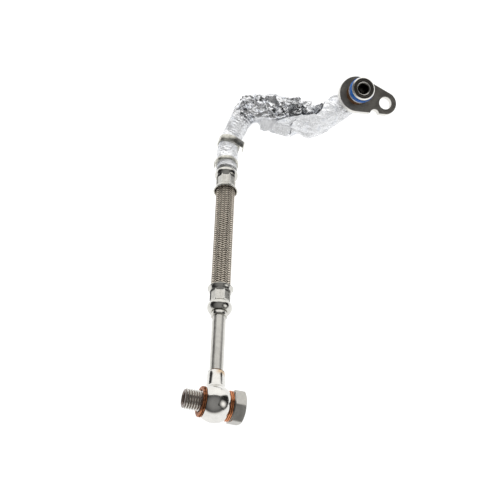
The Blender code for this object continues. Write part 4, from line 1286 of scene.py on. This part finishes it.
class Route:
    """The bent tube's centre line, with directions that don't twist round it."""

    def __init__(self):
        sizes = settings()
        ball = ball_centre()
        face = ball + CORNERS[-1] + flange_normal() * sizes.tube.last_leg
        tail = flange_normal() * TUBE_TAIL
        ahead = hose_ahead()
        start = ball + ahead * sizes.tube.start
        corners = [start, ball + ahead * sizes.tube.first]
        corners += [*(ball + corner for corner in CORNERS), face + tail]
        bends = [start]
        for before, corner, after, radius in zip(corners, corners[1:], corners[2:], BEND_RADII):
            bends += fillet(before, corner, after, radius, sizes.tube.step)
        bends.append(face + tail)
        self.points = [bends[0]]
        for a, b in zip(bends, bends[1:]):
            pieces = max(1, round((b - a).length / sizes.tube.step))
            self.points += [a.lerp(b, index / pieces) for index in range(1, pieces + 1)]
        self.lengths = [0.0]
        for a, b in zip(self.points, self.points[1:]):
            self.lengths.append(self.lengths[-1] + (b - a).length)
        self.length = self.lengths[-1]
        self.frames = []
        up = Vector((0.0, 0.0, 1.0))
        for index in range(len(self.points)):
            before = self.points[max(index - 1, 0)]
            after = self.points[min(index + 1, len(self.points) - 1)]
            ahead = (after - before).normalized()
            up = (up - ahead * up.dot(ahead)).normalized()
            self.frames.append((ahead, up.copy(), ahead.cross(up)))

    def at(self, distance):
        """Place, direction, up and near side at a distance from the start."""
        index = int(distance / self.length * (len(self.points) - 1))
        index = min(max(index, 0), len(self.points) - 2)
        while index < len(self.lengths) - 2 and self.lengths[index + 1] < distance:
            index += 1
        while index > 0 and self.lengths[index] > distance:
            index -= 1
        part = (distance - self.lengths[index]) / (self.lengths[index + 1] - self.lengths[index])
        here = self.points[index].lerp(self.points[index + 1], part)
        clamped = min(max(part, 0.0), 1.0)
        nearest = zip(self.frames[index], self.frames[index + 1])
        return here, *(a.lerp(b, clamped).normalized() for a, b in nearest)

    def bend_at(self, distance):
        """Direction towards the inside of the bend: the tighter the bend, the longer."""
        reach = 3.0 * MM
        before, after = self.at(distance - reach)[1], self.at(distance + reach)[1]
        return (after - before) / (2 * reach) * 12.0 * MM

    def outward(self, distance, angle):
        """Place on the centre line, and direction out of it at an angle from the top."""
        here, _, up, near = self.at(distance)
        return here, up * math.cos(angle) + near * math.sin(angle)


def foil_radius(distance):
    foil = settings().foil
    return foil.bore / 2 + between(distance, PADDING)


# stretches along the sleeves over which something grows or fades
ARM_FADES = (36.0 * MM, 46.0 * MM)
FOIL_SLACKENS = (40.0 * MM, 52.0 * MM)
STRIP_STARTS = (44.0 * MM, 54.0 * MM)
SEAM_RISES = (52.0 * MM, 60.0 * MM)
SEAM_FADES = (88.0 * MM, 96.0 * MM)
# the foil's least thickness, its gap above the floor, and how far in its ends are torn
FOIL_WALL = 0.3 * MM
FLOOR_GAP = 0.1 * MM
TORN = 2.5 * MM
TIES = (
    # name, place, width, side, where the tail leaves, tail, hook
    ("tie_band_lower", 5.0 * MM, 2.6 * MM, -1, math.radians(24.0), 3.0 * MM, 3.0 * MM),
    ("tie_band_upper", 22.5 * MM, 4.8 * MM, 1, math.radians(50.0), 6.4 * MM, 4.6 * MM),
)


def apart(first, second):
    """How far apart two angles are, the short way round."""
    return abs(math.remainder(first - second, 2 * math.pi))


def pinch(distance):
    """0 under a strap tie, where the foil is pressed flat, and 1 clear of it."""
    free = 1.0
    for _, middle, width, *_ in TIES:
        free = min(free, ease(0.3 * MM, 3.5 * MM, abs(distance - middle) - width / 2))
    return free


def crease(point, size, seed):
    """Sharp ridges of noise about a size apart: 1 on a ridge, and less down its sides."""
    return 1.0 - 2.6 * abs(noise.noise(point / size + Vector((seed, 0.0, -seed))))


# the way that most folds of the foil run
FOLDS = Vector((0.87, -0.42, -0.25)).normalized()


def facets(point, size, seed, edge):
    """Flat, tilted facets, longer along FOLDS, with a narrow crease or step between two."""
    drawn = point - FOLDS * (0.45 * point.dot(FOLDS))
    here = drawn / size + Vector((seed, seed, 0.0))
    distances, centres = noise.voronoi(here)
    heights = []
    for centre in centres[:2]:
        tilt = noise.noise_vector(centre * 3.7) * 1.9
        heights.append(tilt.dot(here - centre) + 0.35 * tilt.z)
    inside = ease(0.0, edge, distances[1] - distances[0])
    return heights[0] * (0.5 + 0.5 * inside) + heights[1] * (0.5 - 0.5 * inside)


def pale_strip(distance, angle):
    """1 on the smooth, pale strip that runs along the main sleeve's near side, and 0 off it."""
    off = apart(angle, math.radians(122.0))
    return (1.0 - ease(math.radians(48.0), math.radians(60.0), off)) * ease(*STRIP_STARTS, distance)


def past_fold(distance, angle):
    """How far a place is past the fold that runs aslant over both sleeves."""
    return distance - (92.0 - 19.0 * math.sin(angle - 0.17)) * MM


def foil_offset(route, distance, angle, point, direction):
    """How far the foil stands out of its mean radius at a place."""
    foil = settings().foil
    slack = ease(*FOIL_SLACKENS, distance)
    past = past_fold(distance, angle)
    calm = ease(-1.0 * MM, 4.0 * MM, past)
    groove_depth, groove_width = 1.3 * MM, 1.5 * MM
    groove = groove_depth * math.exp(-(past / groove_width) ** 2)
    smooth = 0.55 * pale_strip(distance, angle)
    crumple = foil.crumple * (slack * (1.0 - 0.75 * calm) * (1.0 - smooth) + 0.08)
    shape = 0.35 * crease(point, 10.0 * MM, 3.1) + 2.4 * facets(point, 5.4 * MM, 1.7, 0.1)
    small = facets(point, 2.3 * MM, 5.3, 0.2)
    inner = max(0.0, route.bend_at(distance).dot(direction))
    wave = distance + 1.2 * MM * noise.noise(point / (5.0 * MM))
    gather_size, small_depth = 0.32 * MM, 0.95 * MM
    stripes = min(1.0, 1.6 * inner + 0.4) * (1.0 - slack) * math.sin(wave / gather_size)
    fine = small_depth * (0.25 + 0.75 * slack * (1.0 - 0.45 * calm)) * (1.0 - smooth)
    return pinch(distance) * (crumple * shape + fine * small + foil.gather * stripes) - groove


def seam_offset(distance, angle):
    """How far the pinched seam stands out of the sleeve."""
    foil = settings().foil
    ramp = ease(*SEAM_RISES, distance) * (1.0 - ease(*SEAM_FADES, distance))
    off = apart(angle, foil.seam_turn) / math.radians(20.0)
    return foil.seam * ramp * max(0.0, 1.0 - off) ** 1.2


def flap_offset(distance, angle):
    """How far the main sleeve stands out towards its loose end on the far side."""
    foil = settings().foil
    grown = min(1.0, max(0.0, (distance - foil.flap_start) / (foil.split - foil.flap_start)))
    off = apart(angle, foil.flap_turn) / foil.flap_spread
    return foil.flap * grown * max(0.0, 1.0 - off)


# distance from the split, angle, half length and height of the short sleeve's torn tabs
TABS = (
    (8.0 * MM, math.radians(104.0), 5.0 * MM, 2.8 * MM),
    (17.0 * MM, math.radians(-46.0), 2.2 * MM, 2.4 * MM),
)


def tab_offset(distance, angle):
    """Torn tabs of the short sleeve, on the near side and on the far side."""
    total = 0.0
    for place, turned, reach, height in TABS:
        away = abs(distance - settings().foil.split - place) / reach
        off = apart(angle, turned) / math.radians(16.0)
        total += height * max(0.0, 1.0 - away) * max(0.0, 1.0 - off)
    return total


def lap_offset(distance, angle):
    """Thickness of the foil's lap over itself, whose edge runs aslant round the short sleeve."""
    edge = settings().foil.split + (12.0 - 7.0 * math.cos(angle)) * MM
    return 0.9 * MM * (1.0 - ease(-0.4 * MM, 0.4 * MM, distance - edge))


def make_sleeve(name, start, end, slants, route, material, ragged, extras):
    """A crumpled sleeve with a bore, lofted round the route. Ragged ends stand out and are torn.

    extras are the shapes that this sleeve alone has, read at a distance and an angle.
    """
    foil = settings().foil
    turns = [2 * math.pi * side / foil.sides for side in range(foil.sides)]
    rings = round((end - start) / foil.step)

    def slant_at(part, angle):
        return (slants[0] * (1.0 - part) ** 3 + slants[1] * part ** 3) * math.sin(angle)

    loops = []
    for ring in range(rings + 1):
        part = ring / rings
        distance = start + (end - start) * part
        near_start = 1.0 - ease(0.0, TORN, distance - start)
        near_end = 1.0 - ease(0.0, TORN, end - distance)
        torn = ragged[0] * near_start + ragged[1] * near_end
        flare = 0.9 * MM * (ragged[0] * near_start ** 2 + ragged[1] * near_end ** 2)
        arm = 0.65 * (1.0 - ease(*ARM_FADES, distance))
        loops.append([])
        for angle in turns:
            rim = Vector((2.0 * math.cos(angle), 2.0 * math.sin(angle), start / MM))
            tear = 1.6 * MM * noise.noise(rim * 1.7) + 0.7 * MM * noise.noise(rim * 5.0)
            here, direction = route.outward(distance - slant_at(part, angle) + tear * torn, angle)
            lip = flare * (0.5 + 0.9 * noise.noise(rim * 2.3 + Vector((4.0, 0.0, 0.0))))
            radius = foil_radius(distance)
            folds = foil_offset(route, distance, angle, here + direction * radius, direction)
            radius += folds + seam_offset(distance, angle) + lip
            radius += sum(extra(distance, angle) for extra in extras)
            point = here + direction * max(radius, foil.bore / 2 + FOIL_WALL)
            point.z = min(max(point.z, FLOOR_GAP), CAD_BOX[1][2])
            far = 0.8 * ease(0.5 * MM, 2.5 * MM, past_fold(distance, angle))
            loops[-1].append((point, max(0.72 * pale_strip(distance, angle), arm, far)))
    bore_rings = max(4, rings // 12)
    for ring in range(bore_rings + 1):
        part = 1.0 - ring / bore_rings
        distance = start + (end - start) * part
        loops.append([])
        for angle in turns:
            here, direction = route.outward(distance - slant_at(part, angle), angle)
            loops[-1].append((here + direction * foil.bore / 2, 0.0))
    return skin(name, [loops], material)


class OILLINE_OT_foil(bpy.types.Operator):
    """Crumpled foil sleeves over the bent tube, the main one and the one up to the flange."""
    bl_idname = "oil_line.foil"
    bl_label = "Foil sleeves"

    def execute(self, context):
        sizes = settings()
        foil = sizes.foil
        noise.seed_set(foil.seed)
        route = Route()
        material = foil_metal("foil", sizes.colours.foil)
        end = route.length - TUBE_TAIL - sizes.flange.thickness - foil.end_gap
        main_sleeve = make_sleeve(
            "foil_main", foil.begin, foil.split, (0.0, foil.slant), route, material, (0.35, 1.0),
            (flap_offset,))
        stand_for(main_sleeve, "foil", "foil_sleeve_main")
        short_sleeve = make_sleeve(
            "foil_flange_end", foil.split + 0.3 * MM, end, (foil.slant, 0.0), route, material,
            (0.8, 0.2), (tab_offset, lap_offset))
        stand_for(short_sleeve, "foil", "foil_sleeve_flange_end")
        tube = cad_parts["bent_tube"]
        for material_slot in tube.material_slots:
            material_slot.material = turned_metal(
                "inner_tube", sizes.colours.drawn, 0.25, 0.06, 0.2)
        return {"FINISHED"}


class OILLINE_OT_ties(bpy.types.Operator):
    """Strap ties: a strip wound round the foil, lapped over itself, with a hooked tail."""
    bl_idname = "oil_line.ties"
    bl_label = "Strap ties"

    def execute(self, context):
        sizes = settings()
        thick = sizes.foil.strap
        route = Route()
        material = strap_metal("strap_steel", sizes.colours.strap)
        lap = math.radians(62.0)
        clearance = 0.25 * MM
        rounding = 0.14 * MM
        pieces = 120
        for node, middle, width, side, leaves, tail, hook in TIES:
            here, ahead, up, near = route.at(middle)
            inner = foil_radius(middle) + clearance + thick / 2
            path = []
            for index in range(pieces + 1):
                left = (2 * math.pi + lap) * (1.0 - index / pieces)
                climb = 1.0 - ease(1.2 * lap, 1.8 * lap, left)
                radius = inner + (thick + 0.1 * MM) * climb
                angle = leaves + left
                path.append(Vector((radius * math.cos(angle), radius * math.sin(angle))))
            onward = Vector((math.sin(leaves), -math.cos(leaves)))
            corner = path[-1] + onward * tail
            hook_end = corner + Vector((-0.1, -1.0)).normalized() * hook
            path += soften(
                [tuple(path[-1]), (*corner, 1.2 * MM), tuple(hook_end)], closed=False, pieces=5)[1:]
            path = [Vector(point) for point in path]
            section = soften([
                (x * width / 2, y * thick / 2, rounding)
                for x, y in ((-1, -1), (1, -1), (1, 1), (-1, 1))
            ], pieces=2)
            loops = []
            for index, point in enumerate(path):
                before, after = path[max(index - 1, 0)], path[min(index + 1, len(path) - 1)]
                along = (after - before).normalized()
                outward = Vector((-along.y, along.x))
                loops.append([])
                for across, rise in section:
                    flat = point + outward * rise
                    wobble = 0.12 * MM * noise.noise(Vector((flat.x, flat.y, middle)) / (3.0 * MM))
                    place = here + near * side * flat.x + up * flat.y + ahead * (across + wobble)
                    loops[-1].append((place, 0.0))
            tie = skin(node + "_strap", [loops], material, closed=False)
            stand_for(tie, "strap_steel", node)
        return {"FINISHED"}


# Flange


def flange_outline(pieces):
    """Pear-shaped outline: round the spigot, round the bolt hole, with a notch in the near edge."""
    flange = settings().flange
    big = flange.plate / 2
    small = flange.arm_end / 2
    tangent = math.acos((big - small) / flange.arm)
    outward = Vector((math.cos(tangent), -math.sin(tangent)))
    along = Vector((math.sin(tangent), math.cos(tangent)))
    start = outward * big
    centre = start + along * ((flange.notch_reach - start.x) / along.x)
    centre += outward * flange.notch_offset
    radius = flange.notch / 2
    lip = math.acos(flange.notch_offset / radius)
    inward = math.atan2(-outward.y, -outward.x)

    points = arc((0.0, 0.0), big, tangent, 2 * math.pi - tangent, pieces)
    points += arc(centre, radius, inward + lip, inward - lip, pieces // 3)
    points += arc((flange.arm, 0.0), small, -tangent, tangent, pieces // 2)
    return points


class OILLINE_OT_plate(bpy.types.Operator):
    """Dark plate with bright sides, a hole for the spigot, a bolt hole and a notch."""
    bl_idname = "oil_line.plate"
    bl_label = "Flange plate"

    def execute(self, context):
        sizes = settings()
        flange = sizes.flange
        colours = sizes.colours
        curve = bpy.data.curves.new("plate_outline", "CURVE")
        curve.dimensions = "2D"
        curve.fill_mode = "BOTH"
        curve.extrude = flange.thickness / 2
        for points in (
            flange_outline(96),
            circle((0.0, 0.0), flange.tail / 2 + 0.02 * MM, 72),
            circle((flange.arm, 0.0), flange.hole / 2, 72),
        ):
            spline = curve.splines.new("POLY")
            spline.points.add(len(points) - 1)
            for target, point in zip(spline.points, points):
                target.co = (*point, 0.0, 1.0)
            spline.use_cyclic_u = True
        holder = put("plate_outline", curve)
        bpy.context.view_layer.update()
        seen = holder.evaluated_get(bpy.context.evaluated_depsgraph_get())
        mesh = bpy.data.meshes.new_from_object(seen)
        bpy.data.objects.remove(holder, do_unlink=True)
        shape = bmesh.new()
        shape.from_mesh(mesh)
        bmesh.ops.remove_doubles(shape, verts=shape.verts, dist=0.005 * MM)
        bmesh.ops.dissolve_limit(
            shape, angle_limit=math.radians(0.5), verts=shape.verts, edges=shape.edges)
        rims = [
            edge for edge in shape.edges
            if len(edge.link_faces) == 2 and edge.calc_face_angle() > 1.0
        ]
        bmesh.ops.bevel(
            shape, geom=rims, offset=flange.edge, segments=3, profile=0.6, affect="EDGES")
        finished(shape, mesh)
        material = plate_metal("dark_plate", colours.plate, colours.bright)
        place = flange_place() @ Matrix.Translation((0.0, 0.0, -flange.thickness / 2))
        plate = piece("pear_plate", mesh, place, material, 25.0)
        stand_for(plate, "dark_plate", "flange_plate")
        return {"FINISHED"}


class OILLINE_OT_spigot(bpy.types.Operator):
    """Turned spigot: neck, lower rim, seal groove, end rim with bright chamfers, and bore."""
    bl_idname = "oil_line.spigot"
    bl_label = "Spigot"

    def execute(self, context):
        sizes = settings()
        flange = sizes.flange
        seat = sizes.fitting.seat
        height = flange.height
        rim = flange.spigot / 2
        lower = flange.lower / 2
        neck = flange.neck / 2
        tail = flange.tail / 2
        bore = flange.bore / 2
        socket = sizes.hose.tube / 2 + 0.1 * MM
        groove = flange.seal_size / 2 - flange.seal - 0.1 * MM
        rim_start = height - flange.rim
        groove_start = rim_start - flange.seal_width - 2 * seat
        lower_start = groove_start - flange.lower_rim
        chamfer = 0.8 * MM
        sink = 0.8 * MM
        outline = soften([
            (socket, -flange.thickness), (tail, -flange.thickness), (tail, 0.0), (neck, 0.05 * MM),
            (neck, lower_start, 0.3 * MM), (lower, lower_start, 0.25 * MM),
            (lower, groove_start, 0.25 * MM), (groove, groove_start, 0.2 * MM),
            (groove, rim_start, 0.2 * MM), (rim, rim_start, 0.25 * MM),
            (rim, height - chamfer, 0.15 * MM), (rim - chamfer, height, 0.15 * MM),
            (rim - chamfer - 0.15 * MM, height), (0.74 * rim, height, 0.1 * MM),
            (0.72 * rim, height - 0.1 * MM, 0.1 * MM), (bore + sink + 0.3 * MM, height - 0.1 * MM),
            (bore + sink + 0.12 * MM, height - 0.1 * MM, 0.05 * MM),
            (bore + sink - 0.15 * MM, height - 0.25 * MM),
            (bore + sink - 0.3 * MM, height - 0.4 * MM),
            (bore, height - sink - 0.12 * MM, 0.15 * MM),
            (bore, 1.2 * MM), (socket, 1.2 * MM),
        ])

        def marks(angle, radius, here):
            if here > height - chamfer - 0.3 * MM and radius > rim - chamfer - 0.1 * MM:
                return 1.0
            if here > height - 0.3 * MM and abs(radius - bore - sink) < 0.2 * MM:
                return 1.0
            if lower_start < here < groove_start + 0.05 * MM and radius > lower - 0.4 * MM:
                return 0.9
            return 0.0

        material = spigot_metal("dark_spigot", sizes.colours.spigot, sizes.colours.bright)
        spigot = lathe("turned_spigot", outline, flange_place(), material, 128, True, None, marks)
        stand_for(spigot, "dark_spigot", "spigot")
        return {"FINISHED"}


class OILLINE_OT_seal(bpy.types.Operator):
    """Blue O-ring in the spigot's groove."""
    bl_idname = "oil_line.seal"
    bl_label = "O-ring"

    def execute(self, context):
        sizes = settings()
        flange = sizes.flange
        outer = flange.seal_size / 2
        inner = outer - flange.seal
        top = flange.height - flange.rim - sizes.fitting.seat
        bottom = top - flange.seal_width
        rounding = flange.seal_rounding
        outline = soften([
            (inner, bottom, rounding / 2), (outer, bottom, rounding),
            (outer, top, rounding), (inner, top, rounding / 2),
        ], pieces=8)
        material = seal_rubber("blue_seal", sizes.colours.seal)
        seal = lathe("blue_seal", outline, flange_place(), material, 128)
        stand_for(seal, "blue_seal", "o_ring")
        return {"FINISHED"}


# Stage


def square(name, half):
    """A level square that reaches half its side either way."""
    mesh = bpy.data.meshes.new(name)
    corners = [(-half, -half, 0.0), (half, -half, 0.0), (half, half, 0.0), (-half, half, 0.0)]
    mesh.from_pydata(corners, [], [(0, 1, 2, 3)])
    return mesh


def aim(thing, place, direction, axis):
    """Puts a thing at a place, with its axis along a direction."""
    thing.location = place
    thing.rotation_mode = "QUATERNION"
    thing.rotation_quaternion = direction.to_track_quat(axis, "Y")


def card(name, middle, facing, width, height, glow):
    """A glowing card out of the camera's sight, whose light fades from its middle outwards."""
    mesh = square(name, 1.0)
    finish = Finish(name, Roughness=1.0, Specular_IOR_Level=0.0, Emission_Strength=glow)
    finish.shader.inputs["Base Color"].default_value = (0.0, 0.0, 0.0, 1.0)
    x, y, _ = finish.part(finish.node("ShaderNodeTexCoord", output="Object"))
    shine = (1.0 - x.size().rise(0.0, 1.0)) * (1.0 - y.size().rise(0.0, 1.0))
    warm = finish.blend(shine, (0.0, 0.0, 0.0, 1.0), (1.0, 0.985, 0.96, 1.0))
    finish.feed("Emission Color", warm)
    mesh.materials.append(finish.material)
    thing = put(name, mesh)
    aim(thing, middle, facing, "Z")
    thing.scale = (width / 2, height / 2, 1.0)
    thing.visible_camera = False


class OILLINE_OT_stage(bpy.types.Operator):
    """Pale floor, a white backdrop in a dark room, a soft box, a fill and the camera."""
    bl_idname = "oil_line.stage"
    bl_label = "Stage"

    def execute(self, context):
        sizes = settings()
        stage = sizes.stage
        scene = bpy.context.scene

        floor = put("floor", square("floor", stage.floor / 2))
        paper = Finish("paper", Roughness=0.9, Specular_IOR_Level=0.0, Emission_Strength=1.08)
        paper.shader.inputs["Base Color"].default_value = rgba(stage.paper, 0.15)
        paper.shader.inputs["Emission Color"].default_value = rgba(stage.paper)
        floor.data.materials.append(paper.material)
        floor.location.z = -0.05 * MM

        world = bpy.data.worlds.new("studio")
        scene.world = world
        world.use_nodes = True
        room = Graph(world.node_tree)
        direction = room.node("ShaderNodeTexCoord", output="Generated")
        _, near, height = room.part(direction)
        top, left, right = stage.backdrop_top, stage.backdrop_left, stage.backdrop_right
        under = room.along(direction, (0.0, math.sin(top), -math.cos(top))).rise(-0.02, 0.04)
        in_left = room.along(direction, (math.cos(left), math.sin(left), 0.0))
        in_right = room.along(direction, (-math.cos(right), math.sin(right), 0.0))
        inside = in_left.rise(-0.02, 0.10) * in_right.rise(-0.02, 0.10)
        over_camera = room.along(direction, (0.04, -0.44, 0.90)).rise(0.4, 1.0)
        low = (0.0 - near).rise(0.3, 0.6) * (1.0 - height.rise(0.02, 0.26))
        reflected = stage.dusk + stage.glow * under * inside + stage.ceiling * over_camera + low
        seen = room.node("ShaderNodeLightPath", output="Is Camera Ray")
        strength = room.node(
            "ShaderNodeMix", {"data_type": "FLOAT"}, {"Factor": seen, "A": reflected, "B": 1.0})
        backdrop = world.node_tree.nodes["Background"]
        backdrop.inputs["Color"].default_value = (1.0, 0.99, 0.975, 1.0)
        world.node_tree.links.new(strength.socket, backdrop.inputs["Strength"])

        ball = ball_centre()
        # right, a little nearer than the ball, and up
        towards_box = Vector((0.83, -0.26, 0.53)).normalized()
        card("soft_box", ball + towards_box * stage.box_away, -towards_box,
             stage.box_width, stage.box_height, stage.box_glow)
        data = bpy.data.lights.new("fill", "AREA")
        data.size = 1.0
        data.energy = stage.fill
        lamp = put("fill", data)
        lamp.location = ball + Vector((0.0, 0.1, 1.0))
        lamp.visible_camera = False
        lamp.visible_glossy = False
        scene.view_settings.view_transform = "Standard"

        data = bpy.data.cameras.new("camera")
        data.lens = stage.lens
        data.sensor_width = 36.0
        data.clip_start = 0.01
        data.clip_end = 20.0
        camera = put("camera", data)
        forward = Vector((
            -math.sin(stage.yaw) * math.cos(stage.pitch),
            math.cos(stage.yaw) * math.cos(stage.pitch),
            -math.sin(stage.pitch),
        ))
        aim(camera, ball + Vector((stage.aside, -stage.back, stage.above)), forward, "-Z")
        scene.camera = camera
        return {"FINISHED"}


OPERATORS = (
    OILLINE_OT_stage, OILLINE_OT_bolt, OILLINE_OT_washers, OILLINE_OT_banjo, OILLINE_OT_brazes,
    OILLINE_OT_tube, OILLINE_OT_nipples, OILLINE_OT_ferrules, OILLINE_OT_braid, OILLINE_OT_foil,
    OILLINE_OT_ties, OILLINE_OT_plate, OILLINE_OT_spigot, OILLINE_OT_seal,
)
GROUPS = (FittingSizes, HoseSizes, TubeSizes, FoilSizes, FlangeSizes, Colours, StageSizes, OilLine)


class OILLINE_PT_panel(bpy.types.Panel):
    """Lists the pieces and the sizes in the 3D view's sidebar."""
    bl_idname = "OILLINE_PT_panel"
    bl_label = "Oil line"
    bl_space_type = "VIEW_3D"
    bl_region_type = "UI"
    bl_category = "Oil line"

    def draw(self, context):
        layout = self.layout
        for operator in OPERATORS:
            layout.operator(operator.bl_idname)
        for title in ("fitting", "hose", "tube", "foil", "flange", "colours", "stage"):
            values = getattr(context.scene.oil_line, title)
            box = layout.box()
            box.label(text=title.capitalize())
            for name in values.__annotations__:
                box.prop(values, name)


def register():
    for kind in (*GROUPS, *OPERATORS, OILLINE_PT_panel):
        bpy.utils.register_class(kind)
    bpy.types.Scene.oil_line = group(OilLine, "Oil line", "Sizes and colours of the oil line")


def unregister():
    del bpy.types.Scene.oil_line
    for kind in reversed((*GROUPS, *OPERATORS, OILLINE_PT_panel)):
        bpy.utils.unregister_class(kind)


def main():
    register()
    for operator in OPERATORS:
        family, name = operator.bl_idname.split(".")
        getattr(getattr(bpy.ops, family), name)()


if __name__ == "__main__":
    main()
